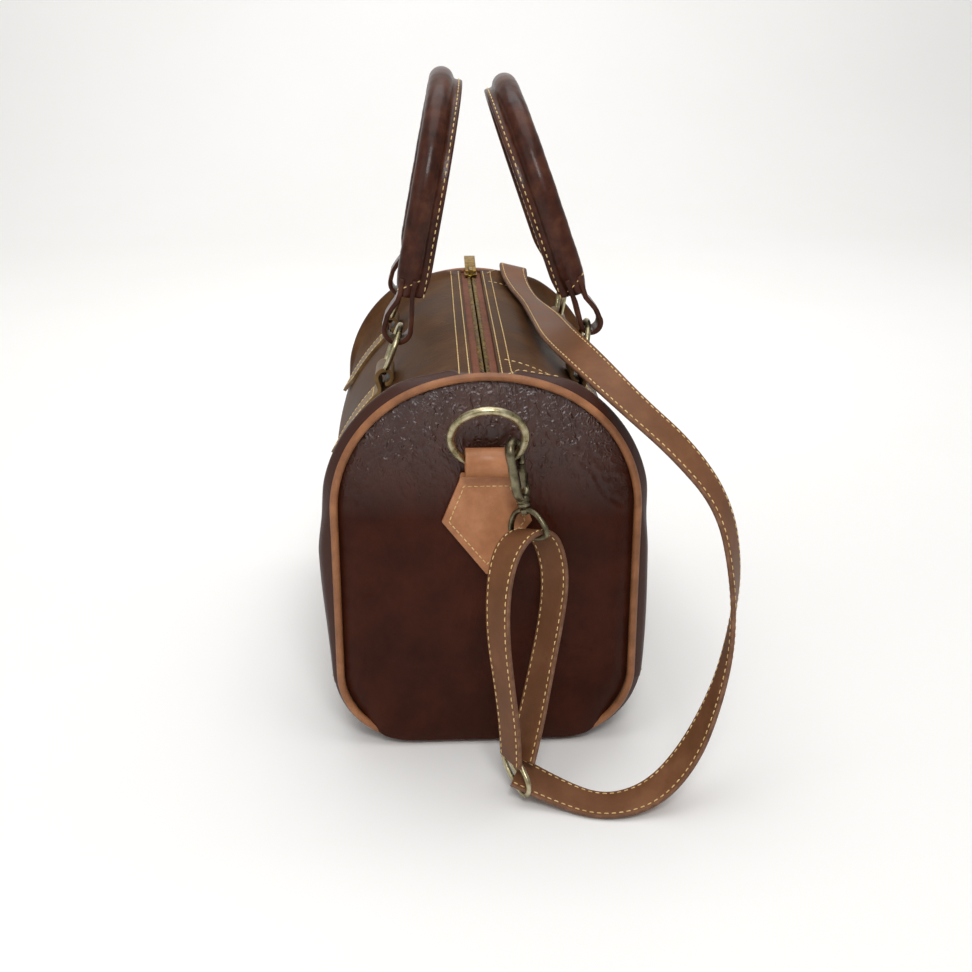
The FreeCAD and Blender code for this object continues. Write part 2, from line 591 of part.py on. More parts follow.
# Handles: each hangs on two rings; the legs lean in over the bag
for side, sign, ring_lean, handle_lean in (("front", -1, size("front_ring_lean"), size("front_handle_lean")),
                                           ("rear", 1, size("rear_ring_lean"), size("rear_handle_lean"))):
    lean_in = Rotation(along_x, sign * ring_lean)
    swing = Rotation(along_x, sign * handle_lean)
    ring_foot = Vector(0, sign * size("chape_side"), chape_z)
    handle_foot = ring_foot + lean_in.multVec(Vector(0, 0, ring_span))
    for end, along in (("near", 1), ("far", -1)):
        ring = torus(f"{side}_{end}_torus", HANDLE_RING, "dims.handle_ring_wire / 2", along_y)
        middle = Vector(along * size("handle_spacing") / 2, 0, 0)
        centre = ring_foot + middle + lean_in.multVec(Vector(0, 0, handle_ring_radius))
        ring.Placement = Placement(centre, lean_in.multiply(Rotation(Vector(0, 0, 1), along_y)))
        node(f"{side}_{end}_ring", ring)

        roll = cylinder(f"{side}_{end}_roll", "dims.handle_loop_wall", "dims.handle_loop_width", along_x,
                        (f"-{LOOP_HALF}", "0", "0"))
        neck = box(f"{side}_{end}_neck", (f"-{LOOP_HALF}", LOOP_HALF),
                   ("-dims.neck_depth / 2", "dims.neck_depth / 2"), ("0", "dims.handle_neck"))
        loop = flared_loop(f"{side}_{end}_grip_loop", fuse(f"{side}_{end}_grip_fuse", roll, neck),
                           HANDLE_RING, "dims.handle_ring_wire", along_x)
        loop.Placement = Placement(handle_foot + middle, swing)
        node(f"{side}_{end}_handle_loop", loop)

    for piece in ("cover", "core"):
        body = new_body(f"{side}_handle_{piece}_body")
        leg, start = size("handle_spacing") / 2, size("handle_neck")
        bend = size("handle_rise") - leg
        path = new_sketch(body, f"{side}_{piece}_path", "XZ_Plane")
        path.addGeometry([
            Part.LineSegment(Vector(leg, start, 0), Vector(leg, bend, 0)),
            Part.ArcOfCircle(Part.Circle(Vector(0, bend, 0), Vector(0, 0, 1), leg), 0, math.pi),
            Part.LineSegment(Vector(-leg, bend, 0), Vector(-leg, start, 0)),
        ], False)
        path.addConstraint([
            Sketcher.Constraint("Tangent", 0, 2, 1, 1),
            Sketcher.Constraint("Tangent", 1, 2, 2, 1),
            Sketcher.Constraint("Vertical", 0),
            Sketcher.Constraint("Vertical", 2),
            Sketcher.Constraint("PointOnObject", 1, 3, -2),
        ])
        for constraint, text in (
                (Sketcher.Constraint("Radius", 1, leg), "dims.handle_spacing / 2"),
                (Sketcher.Constraint("DistanceY", -1, 1, 1, 3, bend),
                 "dims.handle_rise - dims.handle_spacing / 2"),
                (Sketcher.Constraint("DistanceY", -1, 1, 0, 1, start), "dims.handle_neck"),
                (Sketcher.Constraint("DistanceY", -1, 1, 2, 2, start), "dims.handle_neck")):
            index = path.addConstraint(constraint)
            path.setExpression(f"Constraints[{index}]", text)
        section = new_sketch(body, f"{side}_{piece}_section", "XY_Plane", "dims.handle_neck")
        rounds = ["dims.handle_diameter", "dims.handle_core"] if piece == "cover" else ["dims.handle_core"]
        for edge, text in enumerate(rounds):
            radius = sheet_value(text) / 2
            section.addGeometry(Part.Circle(Vector(leg, 0, 0), Vector(0, 0, 1), radius), False)
            section.addConstraint(Sketcher.Constraint("PointOnObject", edge, 3, -1))
            for constraint, formula in (
                    (Sketcher.Constraint("Diameter", edge, 2 * radius), text),
                    (Sketcher.Constraint("DistanceX", -1, 1, edge, 3, leg), "dims.handle_spacing / 2")):
                index = section.addConstraint(constraint)
                section.setExpression(f"Constraints[{index}]", formula)
        pipe = body.newObject("PartDesign::AdditivePipe", f"{side}_{piece}_pipe")
        pipe.Profile = section
        pipe.Spine = (path, ["Edge1", "Edge2", "Edge3"])
        if piece == "cover":
            flange = new_sketch(body, f"{side}_flange_section", "XY_Plane", "dims.handle_neck")
            near = "dims.handle_spacing / 2 - dims.flange_depth / 2"
            far = "dims.handle_spacing / 2 + dims.flange_depth / 2"
            low, high = "dims.handle_diameter / 2 - 1", "dims.handle_diameter / 2 + dims.handle_flange"
            inward = (low, high) if sign < 0 else (f"-({low})", f"-({high})")
            polygon(flange, [(near, inward[0]), (far, inward[0]), (far, inward[1]), (near, inward[1])])
            rim = body.newObject("PartDesign::AdditivePipe", f"{side}_flange_pipe")
            rim.Profile = flange
            rim.Spine = (path, ["Edge1", "Edge2", "Edge3"])
        body.Placement = Placement(handle_foot, swing)
        node(f"{side}_handle_{piece}", body)

# End tabs: a five-sided leather tab with a loop, on the face of each end panel
PANEL_OUT = f"{PANEL_IN} + dims.panel_depth"
END_RING = "(dims.end_ring_bore + dims.end_ring_wire) / 2"
end_ring_radius = sheet_value(END_RING)
LOOP_OUT = f"{PANEL_OUT} + dims.tab_loop_radius + dims.seat_gap"
loop_out = sheet_value(LOOP_OUT)
TAB_HALF = "dims.tab_loop_width / 2"
for end, turn in (("near", Rotation()), ("far", mirror_ends)):
    plate = new_body(f"{end}_tab_plate")
    outline = new_sketch(plate, f"{end}_tab_outline", "YZ_Plane", PANEL_OUT)
    polygon(outline, [("0", "dims.tab_tip_height"), ("dims.tab_width / 2", "dims.tab_wide_height"),
                      (TAB_HALF, "dims.tab_loop_height"), (f"-{TAB_HALF}", "dims.tab_loop_height"),
                      ("-dims.tab_width / 2", "dims.tab_wide_height")])
    new_pad(plate, outline, "dims.tab_depth")
    bore = cylinder(f"{end}_tab_bore", "dims.tab_loop_radius", "dims.tab_loop_width", along_y,
                    (LOOP_OUT, f"-{TAB_HALF}", "dims.tab_loop_height"))
    roll = cylinder(f"{end}_tab_roll", "dims.tab_loop_radius", "dims.tab_loop_width", along_y,
                    ("0", f"-{TAB_HALF}", "0"))
    loop = flared_loop(f"{end}_tab_loop", roll, END_RING, "dims.end_ring_wire", along_y)
    loop.Placement.Base = Vector(loop_out, 0, size("tab_loop_height"))
    tab = fuse(f"{end}_tab_fuse", cut(f"{end}_tab_seat", plate, bore), loop)
    tab.Placement.Rotation = turn
    node(f"{end}_end_tab", tab)

# End rings lean out from the panel, with a trigger hook hanging on each
lean_out = Rotation(along_y, size("end_ring_lean"))
ring_plane_up = lean_out.multVec(Vector(0, 0, 1))
tab_axis = Vector(loop_out, 0, size("tab_loop_height"))
ring_centre = tab_axis + ring_plane_up * end_ring_radius
hook_turn = math.radians(size("hook_turn"))
wire_way = along_y * math.cos(hook_turn) - ring_plane_up * math.sin(hook_turn)
wire_point = ring_centre + wire_way * end_ring_radius
wire_run = along_y * math.sin(hook_turn) + ring_plane_up * math.cos(hook_turn)
hook_up = Vector(-size("hook_out"), -size("hook_side"), 1).normalize()
hook_normal = (hook_up * wire_run.dot(hook_up) - wire_run).normalize()
hook_side = hook_normal.cross(hook_up)
eye_turn = math.radians(size("eye_turn"))
eye_flat = Vector(math.cos(eye_turn), math.sin(eye_turn), 0)
eye_bar = (eye_flat - hook_up * eye_flat.dot(hook_up)).normalize()
eye_normal = hook_up.cross(eye_bar)


# Placement of a frame with its own three directions; the far end is the near end seen in a mirror,
# and the pieces there are alike on both faces, so the second direction turns round instead
def frame_at(point, first, second, third, mirrored):
    if mirrored:
        point, first, second, third = (Vector(-v.x, v.y, v.z) for v in (point, first, second, third))
        second = -second
    rows = [[first[i], second[i], third[i], point[i]] for i in range(3)]
    return Placement(Matrix(*rows[0], *rows[1], *rows[2], 0, 0, 0, 1))


# Rounded frame in the XZ plane of its own body: an oblong with half-round ends on its short sides
def oblong_frame(name, width, low, high, depth, bar):
    body = new_body(name)
    for step, (grow, feature) in enumerate(((bar, "PartDesign::Pad"), ("0", "PartDesign::Pocket"))):
        grown = sheet_value(grow)
        half = sheet_value(width) / 2
        bottom, top = sheet_value(low) + half, sheet_value(high) - half
        sketch = new_sketch(body, f"{name}_outline_{step}", "XZ_Plane")
        radius = half + grown
        sketch.addGeometry([
            Part.LineSegment(Vector(radius, bottom, 0), Vector(radius, top, 0)),
            Part.ArcOfCircle(Part.Circle(Vector(0, top, 0), Vector(0, 0, 1), radius), 0, math.pi),
            Part.LineSegment(Vector(-radius, top, 0), Vector(-radius, bottom, 0)),
            Part.ArcOfCircle(Part.Circle(Vector(0, bottom, 0), Vector(0, 0, 1), radius),
                             math.pi, 2 * math.pi),
        ], False)
        for edge in range(4):
            sketch.addConstraint(Sketcher.Constraint("Tangent", edge, 2, (edge + 1) % 4, 1))
        sketch.addConstraint(Sketcher.Constraint("Vertical", 0))
        sketch.addConstraint(Sketcher.Constraint("PointOnObject", 1, 3, -2))
        index = sketch.addConstraint(Sketcher.Constraint("Radius", 1, radius))
        sketch.setExpression(f"Constraints[{index}]", f"{width} / 2 + ({grow})")
        place_centre(sketch, 1, f"{high} - {width} / 2", top)
        place_centre(sketch, 3, f"{low} + {width} / 2", bottom)
        cutter = body.newObject(feature, f"{name}_step_{step}")
        cutter.Profile = sketch
        cutter.SideType = "Symmetric"
        cutter.setExpression("Length", depth if step == 0 else f"{depth} + 2")
    return body


# Flat frame with straight sides and a window, standing in the XZ plane of its own body
def window_frame(name, outline, window, depth):
    body = new_body(name)
    outside = new_sketch(body, f"{name}_outside", "XZ_Plane")
    polygon(outside, outline)
    new_pad(body, outside, depth, symmetric=True)
    inside = new_sketch(body, f"{name}_inside", "XZ_Plane")
    polygon(inside, window)
    pocket = body.newObject("PartDesign::Pocket", f"{name}_window")
    pocket.Profile = inside
    pocket.SideType = "Symmetric"
    pocket.setExpression("Length", f"{depth} + 2")
    return body


# Corners of the right half, listed upwards, and their mirror images on the left
def mirrored_outline(corners):
    return corners + [(f"-({a})", b) for a, b in reversed(corners)]


def place_centre(sketch, arc, text, value):
    if value > 0:
        index = sketch.addConstraint(Sketcher.Constraint("DistanceY", -1, 1, arc, 3, value))
        sketch.setExpression(f"Constraints[{index}]", text)
    else:
        index = sketch.addConstraint(Sketcher.Constraint("DistanceY", arc, 3, -1, 1, -value))
        sketch.setExpression(f"Constraints[{index}]", f"-({text})")


SLOT_HALF = "dims.hook_slot / 2"
HOOK_LOW = "-dims.hook_reach"
COLLAR_LOW = "-dims.hook_reach - dims.hook_bar - dims.collar_length"
PIVOT = "-dims.gate_pivot"
GATE_IN = SLOT_HALF
GATE_MID = f"{SLOT_HALF} + dims.gate_bar / 2"
BORE = "dims.post_diameter / 2 + dims.pin_gap"
EYE_HIGH = f"{COLLAR_LOW} - dims.gate_gap - dims.eye_wire"
EYE_LOW = f"{EYE_HIGH} - dims.eye_bore_height"
# The post's head stands just clear of the slot's round floor
HEAD_LOW = f"{HOOK_LOW} + {SLOT_HALF} - sqrt(({SLOT_HALF})^2 - (dims.post_head / 2)^2) + dims.pin_gap"
across_hook = ("-dims.hook_depth", "dims.hook_depth")
EYE_SIDE = "dims.eye_bore_width / 2"
EYE_BEND = f"{EYE_LOW} + dims.eye_bore_height / 2"
eye_outline = mirrored_outline([
    (f"{EYE_SIDE} + dims.eye_wire", f"{EYE_LOW} - dims.eye_wire"),
    (f"{EYE_SIDE} + dims.eye_wire", EYE_BEND),
    ("2 * dims.eye_wire", f"{EYE_HIGH} + dims.eye_wire")])
eye_window = mirrored_outline([(EYE_SIDE, EYE_LOW), (EYE_SIDE, EYE_BEND), ("1.2 * dims.eye_wire", EYE_HIGH)])
cheek_room = ("-dims.gate_depth / 2 - dims.gate_gap / 2", "dims.gate_depth / 2 + dims.gate_gap / 2")
gate_across = ("-dims.gate_depth / 2", "dims.gate_depth / 2")
gate_side = (f"{SLOT_HALF} - 1", f"{SLOT_HALF} + dims.hook_bar + 2")
PIVOT_TOP = f"{PIVOT} + dims.gate_bar"
for end, mirrored in (("near", False), ("far", True)):
    ring = torus(f"{end}_ring_torus", END_RING, "dims.end_ring_wire / 2", Vector(1, 0, 0))
    facing = lean_out if not mirrored else lean_out.inverted()
    centre = Vector(-ring_centre.x, ring_centre.y, ring_centre.z) if mirrored else ring_centre
    ring.Placement = Placement(centre, facing.multiply(Rotation(Vector(0, 0, 1), along_x)))
    node(f"{end}_end_ring", ring)
    hook_frame = frame_at(wire_point, hook_side, hook_normal, hook_up, mirrored)

    claw = oblong_frame(f"{end}_claw", "dims.hook_slot", HOOK_LOW, "dims.hook_bowl", "dims.hook_depth",
                        "dims.hook_bar")
    collar = cylinder(f"{end}_collar", "dims.collar_diameter / 2", "dims.collar_length + dims.hook_bar / 2",
                      Vector(0, 0, 1), ("0", "0", COLLAR_LOW))
    rooms = [
        box(f"{end}_gate_room", gate_side, across_hook, (PIVOT_TOP, "-dims.gate_top + dims.gate_gap")),
        box(f"{end}_cheek_room", gate_side, cheek_room, (f"{PIVOT} - dims.gate_bar", PIVOT_TOP)),
        cylinder(f"{end}_pin_hole", "dims.pin_diameter / 2", "4 * dims.hook_depth", along_y,
                 (GATE_MID, "-2 * dims.hook_depth", PIVOT)),
        cylinder(f"{end}_post_bore", BORE, "2 * dims.collar_length + 2 * dims.hook_bar", Vector(0, 0, 1),
                 ("0", "0", f"{COLLAR_LOW} - dims.collar_length / 2")),
    ]
    hook = cut(f"{end}_hook_cut", fuse(f"{end}_hook_fuse", claw, collar), fuse(f"{end}_hook_rooms", *rooms))
    hook.Placement = hook_frame
    node(f"{end}_hook", hook)

    lever = [
        box(f"{end}_gate_arm", (GATE_IN, f"{GATE_IN} + dims.gate_bar"), gate_across,
            (PIVOT, "-dims.gate_top")),
        cylinder(f"{end}_gate_boss", "dims.gate_bar / 2", "dims.gate_depth", along_y,
                 (GATE_MID, "-dims.gate_depth / 2", PIVOT)),
        cylinder(f"{end}_gate_thumb", "dims.gate_knob", "dims.gate_depth", along_y,
                 (f"{GATE_IN} + dims.gate_bar", "-dims.gate_depth / 2",
                  "-(dims.gate_top + dims.gate_pivot) / 2")),
    ]
    gate_hole = cylinder(f"{end}_gate_hole", "dims.pin_diameter / 2 + dims.pin_gap", "2 * dims.hook_depth",
                         along_y, (GATE_MID, "-dims.hook_depth", PIVOT))
    gate = cut(f"{end}_gate_cut", fuse(f"{end}_gate_fuse", *lever), gate_hole)
    gate.Placement = hook_frame
    node(f"{end}_gate", gate)

    pin_start = (GATE_MID, "-dims.hook_depth / 2", PIVOT)
    node(f"{end}_gate_pin", cylinder(f"{end}_pin", "dims.pin_diameter / 2", "dims.hook_depth", along_y,
                                     pin_start, hook_frame))

    # The spring is a leaf that lies along the spine of the claw
    leaf_side = (f"-({SLOT_HALF})", f"-({SLOT_HALF}) + dims.spring_depth")
    leaf = box(f"{end}_leaf", leaf_side, gate_across, (PIVOT_TOP, "-dims.gate_top"), hook_frame)
    node(f"{end}_gate_spring", leaf)

    swivel_frame = frame_at(wire_point, eye_bar, eye_normal, hook_up, mirrored)
    eye = window_frame(f"{end}_eye", eye_outline, eye_window, "dims.eye_wire")
    post = cylinder(f"{end}_post", "dims.post_diameter / 2", f"{HEAD_LOW} - ({EYE_HIGH})", Vector(0, 0, 1),
                    ("0", "0", EYE_HIGH))
    head = cylinder(f"{end}_head", "dims.post_head / 2", "dims.head_depth", Vector(0, 0, 1),
                    ("0", "0", HEAD_LOW))
    swivel = fuse(f"{end}_swivel_fuse", eye, post, head)
    swivel.Placement = swivel_frame
    node(f"{end}_swivel_eye", swivel)

# Shoulder strap: the points of its middle line, and at each the way from its far edge to its near edge.
# The long run goes from the adjuster over the ground, up past the rear shoulder, over the top and down
# to the far hook.
MAIN_ROUTE = [
    ((204, 14, 17), (0.72, 0.42, -0.55)),
    ((209, 36, 6), (0.92, -0.35, -0.17)),
    ((220, 61, 2.4), (0.98, -0.15, -0.12)),
    ((217, 88, 8), (0.96, 0.23, -0.15)),
    ((213, 108, 31), (0.95, 0.29, -0.07)),
    ((211, 121, 66), (0.99, 0.04, 0.09)),
    ((206, 128, 98), (0.98, -0.09, 0.2)),
    ((198, 130, 132), (0.86, -0.46, 0.21)),
    ((187, 124, 166), (0.81, -0.57, 0.13)),
    ((170, 104, 191), (0.68, -0.72, -0.14)),
    ((147, 77, 211.5), (0.57, -0.81, -0.13)),
    ((111, 57, 226), (0.3, -0.9, -0.3)),
    ((82, 48.6, 229.2), (0.18, -0.92, -0.34)),
    ((58, 44.8, 229.9), (0.11, -0.94, -0.31)),
    ((10, 44.3, 225.2), (0.09, -0.98, -0.12)),
    ((-46, 41.5, 221.4), (0.12, -0.96, 0.24)),
    ((-73, 35.9, 222.2), (0.14, -0.92, 0.36)),
    ((-104, 32, 224.6), (0.05, -0.94, 0.33)),
    ((-124, 31, 227.2), (0.0, -0.95, 0.3)),
    ((-139, 31, 229.2), (0.0, -0.957, 0.285)),
    ((-153, 33, 226.8), (0.0, -0.98, 0.2)),
    ((-173, 35.5, 206), (0.0, -1.0, 0.05)),
    ((-190, 36, 166), (0.0, -1.0, 0.0)),
    ((-197, 34, 121), (0.0, -1.0, 0.0)),
    ((-197, 30, 90), (0.10, -0.99, 0.0)),
    ((-191, 26, 71), (0.20, -0.97, 0.0)),
    ((-181, 22, 69), (0.32, -0.94, 0.0)),
    ((-175, 19, 86), (0.45, -0.88, 0.0)),
    ((-171.5, 18.5, 108), (0.55, -0.83, -0.10)),
    ((-169.7, 22.8, 126.5), (0.62, -0.76, -0.18)),
    ((-167.6, 19.8, 143.9), (0.646, -0.735, -0.206)),
    ((-161.9, 24.7, 143.9), (0.646, -0.735, -0.206)),
    ((-164.2, 28.1, 124.5), (0.646, -0.735, -0.206)),
    ((-168.8, 21, 108), (0.60, -0.79, -0.10)),
]
# The near loop goes up from the adjuster, over the bar of the swivel eye and down again.
LOOP_ROUTE = [
    ((204, 11, 24), (0.72, 0.42, -0.55)),
    ((205, 10.5, 42), (0.86, 0.51, 0.06)),
    ((203, 7.5, 67), (0.86, 0.48, 0.16)),
    ((199, 4, 95), (0.82, 0.53, 0.22)),
    ((192, 4, 117), (0.78, 0.56, 0.27)),
    ((183.5, 7, 133), (0.7, 0.66, 0.25)),
    ((174.6, 12.9, 142.2), (0.65, 0.735, 0.19)),
    ((164.6, 22, 144.6), (0.646, 0.735, 0.206)),
    ((159.2, 31.2, 139.7), (0.646, 0.735, 0.206)),
    ((160.3, 36.5, 125), (0.67, 0.7, 0.24)),
    ((163.5, 37.5, 109), (0.74, 0.65, 0.14)),
    ((170, 34, 86), (0.79, 0.58, 0.2)),
    ((182, 28, 63), (0.74, 0.62, 0.25)),
    ((195, 22, 41), (0.72, 0.67, 0.2)),
    ((203, 17, 24), (0.75, 0.64, 0.16)),
]
ARC_SHARE = 0.45
ARC_STEPS = 4


# Straight runs joined by tangent arcs, as stations of (place, direction, edge way)
def route_stations(label, route):
    points = [Vector(*place) for place, way in route]
    ways = [Vector(*way) for place, way in route]
    runs = [(b - a).Length for a, b in zip(points, points[1:])]
    heads = [(b - a).normalize() for a, b in zip(points, points[1:])]
    stations = [(points[0], heads[0], ways[0])]
    radii = []
    for index in range(1, len(points) - 1):
        before, after = heads[index - 1], heads[index]
        turn = before.getAngle(after)
        back = ARC_SHARE * min(runs[index - 1], runs[index])
        radius = back / math.tan(turn / 2)
        radii.append(round(radius, 1))
        start = points[index] - before * back
        inward = (after - before * before.dot(after)).normalize()
        centre = start + inward * radius
        for step in range(ARC_STEPS + 1):
            angle = turn * step / ARC_STEPS
            place = centre - inward * radius * math.cos(angle) + before * radius * math.sin(angle)
            head = before * math.cos(angle) + inward * math.sin(angle)
            share = ARC_SHARE * (step / ARC_STEPS * 2 - 1)
            other = ways[index + 1] if share > 0 else ways[index - 1]
            stations.append((place, head, ways[index] * (1 - abs(share)) + other * abs(share)))
    stations.append((points[-1], heads[-1], ways[-1]))
    print(label, "arc radii in mm", radii)
    return stations


def strap_solid(label, route):
    half_width, half_depth = size("strap_width") / 2, size("strap_depth") / 2
    sections = []
    length = 0.0
    stations = route_stations(label, route)
    for (place, _, _), (following, _, _) in zip(stations, stations[1:]):
        length += (following - place).Length
    for place, head, way in stations:
        across = (way - head * way.dot(head)).normalize() * half_width
        out = head.cross(across).normalize() * half_depth
        corners = [place + across + out, place - across + out, place - across - out, place + across - out]
        sections.append(Part.makePolygon(corners + corners[:1]))
    solid = Part.makeLoft(sections, True, True)
    expected = length * size("strap_width") * size("strap_depth")
    print(label, "length in mm", round(length, 1), "volume ratio", round(solid.Volume / expected, 3))
    lowest = solid.BoundBox.ZMin
    print(label, "lowest point", round(lowest, 2))
    return solid


for label, route in (("strap_main", MAIN_ROUTE), ("strap_loop", LOOP_ROUTE)):
    strap = doc.addObject("Part::Feature", label + "_shape")
    strap.Shape = strap_solid(label, route)
    node(label, strap)

# Slide adjuster: a wire frame with a bar across its middle, where the strap's loop closes
adjuster_place, adjuster_way = (Vector(*v) for v in MAIN_ROUTE[0])
adjuster_across = adjuster_way.normalize()
loop_head = Vector(*LOOP_ROUTE[1][0]) - Vector(*LOOP_ROUTE[0][0])
adjuster_up = (loop_head - adjuster_across * loop_head.dot(adjuster_across)).normalize()
adjuster_normal = adjuster_up.cross(adjuster_across)
adjuster_frame = frame_at(adjuster_place, adjuster_across, adjuster_normal, adjuster_up, False)
ADJUSTER_SIDE = "dims.adjuster_width / 2"
ADJUSTER_RISE = "dims.adjuster_height / 2"
WINDOW_SIDE = "dims.adjuster_width / 2 - dims.adjuster_wire"
WINDOW_RISE = "dims.adjuster_height / 2 - dims.adjuster_wire"
BEVEL = "dims.adjuster_wire"
slide_outline = mirrored_outline([
    (f"{ADJUSTER_SIDE} - {BEVEL}", f"-({ADJUSTER_RISE})"), (ADJUSTER_SIDE, f"-({ADJUSTER_RISE} - {BEVEL})"),
    (ADJUSTER_SIDE, f"{ADJUSTER_RISE} - {BEVEL}"), (f"{ADJUSTER_SIDE} - {BEVEL}", ADJUSTER_RISE)])
slide_window = mirrored_outline([(WINDOW_SIDE, f"-({WINDOW_RISE})"), (WINDOW_SIDE, WINDOW_RISE)])
slide = window_frame("adjuster_frame", slide_outline, slide_window, "dims.adjuster_wire")
slide.Placement = adjuster_frame
node("adjuster_slide", slide)
node("adjuster_bar", cylinder("adjuster_crossbar", "dims.adjuster_bar_diameter / 2", f"2 * ({WINDOW_SIDE})",
                              along_x, (f"-({WINDOW_SIDE})", "0", "0"), adjuster_frame))

doc.recompute()
failed = [obj.Label for obj in doc.Objects if "Invalid" in obj.State or "Error" in obj.State]
if failed:
    raise RuntimeError("failed objects: " + ", ".join(failed))
for label, obj in nodes.items():
    if obj.Shape.isNull() or not obj.Shape.isValid() or not obj.Shape.Solids:
        raise RuntimeError("bad shape: " + label)
os.makedirs("parts", exist_ok=True)
for label, obj in nodes.items():
    obj.Shape.exportStep(f"parts/{label}.step")
    print(label, "solids", len(obj.Shape.Solids), "volume", round(obj.Shape.Volume, 1))
print("tab axis", tab_axis, "wire point", wire_point, "hook up", hook_up, "hook normal", hook_normal)
print("chape axis height", round(chape_z, 3))
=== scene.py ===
import json
import math
import bpy
import numpy as np
from mathutils import Matrix, Vector


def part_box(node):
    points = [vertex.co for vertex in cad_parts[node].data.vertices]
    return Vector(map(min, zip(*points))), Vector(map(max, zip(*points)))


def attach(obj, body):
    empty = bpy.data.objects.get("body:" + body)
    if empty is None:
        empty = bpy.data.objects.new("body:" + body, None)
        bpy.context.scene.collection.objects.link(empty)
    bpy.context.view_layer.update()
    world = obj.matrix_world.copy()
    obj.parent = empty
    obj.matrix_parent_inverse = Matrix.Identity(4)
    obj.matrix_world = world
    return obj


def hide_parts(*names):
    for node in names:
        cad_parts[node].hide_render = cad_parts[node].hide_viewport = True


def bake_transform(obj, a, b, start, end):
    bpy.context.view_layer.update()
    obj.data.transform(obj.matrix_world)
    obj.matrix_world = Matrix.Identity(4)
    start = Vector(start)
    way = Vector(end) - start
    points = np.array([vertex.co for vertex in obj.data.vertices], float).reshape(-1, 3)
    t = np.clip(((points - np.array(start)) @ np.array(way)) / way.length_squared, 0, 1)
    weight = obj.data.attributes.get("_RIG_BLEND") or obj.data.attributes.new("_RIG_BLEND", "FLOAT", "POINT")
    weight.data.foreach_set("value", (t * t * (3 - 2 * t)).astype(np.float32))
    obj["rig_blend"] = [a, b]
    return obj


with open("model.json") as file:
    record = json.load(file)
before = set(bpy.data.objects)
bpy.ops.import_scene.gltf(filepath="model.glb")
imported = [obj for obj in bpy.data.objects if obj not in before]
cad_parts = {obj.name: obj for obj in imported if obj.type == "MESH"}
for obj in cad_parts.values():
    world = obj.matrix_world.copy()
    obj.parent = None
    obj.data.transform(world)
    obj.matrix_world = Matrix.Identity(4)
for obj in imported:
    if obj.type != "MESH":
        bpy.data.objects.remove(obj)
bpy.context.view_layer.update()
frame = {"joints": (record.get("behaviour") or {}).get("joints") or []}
joints = {joint["name"]: joint for joint in frame["joints"]}
mm = 0.001
pi = math.pi
bothEnds = (("near", 1), ("far", -1))
bothSides = (("front", -1), ("rear", 1))
print("stage: frame loaded")


# Colour of a hex sRGB text, as the linear values that shaders take
def colour(text):
    parts = [int(text[i:i + 2], 16) / 255 for i in (0, 2, 4)]
    return [c / 12.92 if c <= 0.04045 else ((c + 0.055) / 1.055) ** 2.4 for c in parts] + [1.0]


# Adds one shader node: its own settings by name, and a value or a link for each named input
def addNode(tree, kind, inputs, **settings):
    node = tree.nodes.new("ShaderNode" + kind)
    for name, value in settings.items():
        setattr(node, name, value)
    for name, value in inputs.items():
        if isinstance(value, bpy.types.NodeSocket):
            tree.links.new(value, node.inputs[name])
        else:
            node.inputs[name].default_value = value
    return node


def startMaterial(name):
    material = bpy.data.materials.new(name)
    material.use_nodes = True
    tree = material.node_tree
    tree.nodes.clear()
    place = addNode(tree, "TexCoord", {}).outputs["Object"]
    return material, tree, place


def endMaterial(tree, inputs):
    shader = addNode(tree, "BsdfPrincipled", inputs)
    addNode(tree, "OutputMaterial", {"Surface": shader.outputs["BSDF"]})


# Most of what a noise gives lies between these two values
noiseLow, noiseHigh = 0.3, 0.7


# Three colours spread over a slow noise, so that no two parts of a surface match
def mottled(tree, place, look):
    noise = addNode(tree, "TexNoise", {
        "Vector": place, "Scale": 1 / (look["patch"] * mm), "Detail": 5.0, "Roughness": 0.6}).outputs["Fac"]
    ramp = addNode(tree, "ValToRGB", {"Fac": noise})
    band = ramp.color_ramp.elements
    band[0].position, band[1].position = noiseLow, noiseHigh
    band.new(0.5)
    for element, text in zip(band, look["shades"].split()):
        element.color = colour(text)
    return ramp.outputs["Color"], noise


# Goes from low to high while the value goes from start to end
def mapped(tree, value, low, high, start=noiseLow, end=noiseHigh):
    return addNode(tree, "MapRange", {
        "Value": value, "From Min": start, "From Max": end, "To Min": low, "To Max": high}).outputs["Result"]


def worked(tree, operation, *values):
    return addNode(tree, "Math", dict(enumerate(values)), operation=operation).outputs["Value"]


# A relief of that depth on the mesh itself, or on top of another relief
def bumped(tree, height, depth, under=None):
    inputs = {"Height": height, "Strength": 1.0, "Distance": depth}
    if under is not None:
        inputs["Normal"] = under
    return addNode(tree, "Bump", inputs).outputs["Normal"]


# What a leather has unless its own look says otherwise; sizes and depths are in mm
hide = dict(grainDepth=0.04, coat=0.0, coatRough=0.16, shine=0.4, edgeShine=0.32, roughSpread=0.12, poresPerGrain=3,
            poreDetail=3.0, foldDetail=3.0, foldWarp=1.2, stretch=(1.0, 1.0, 1.0), lowFolds=0.10)


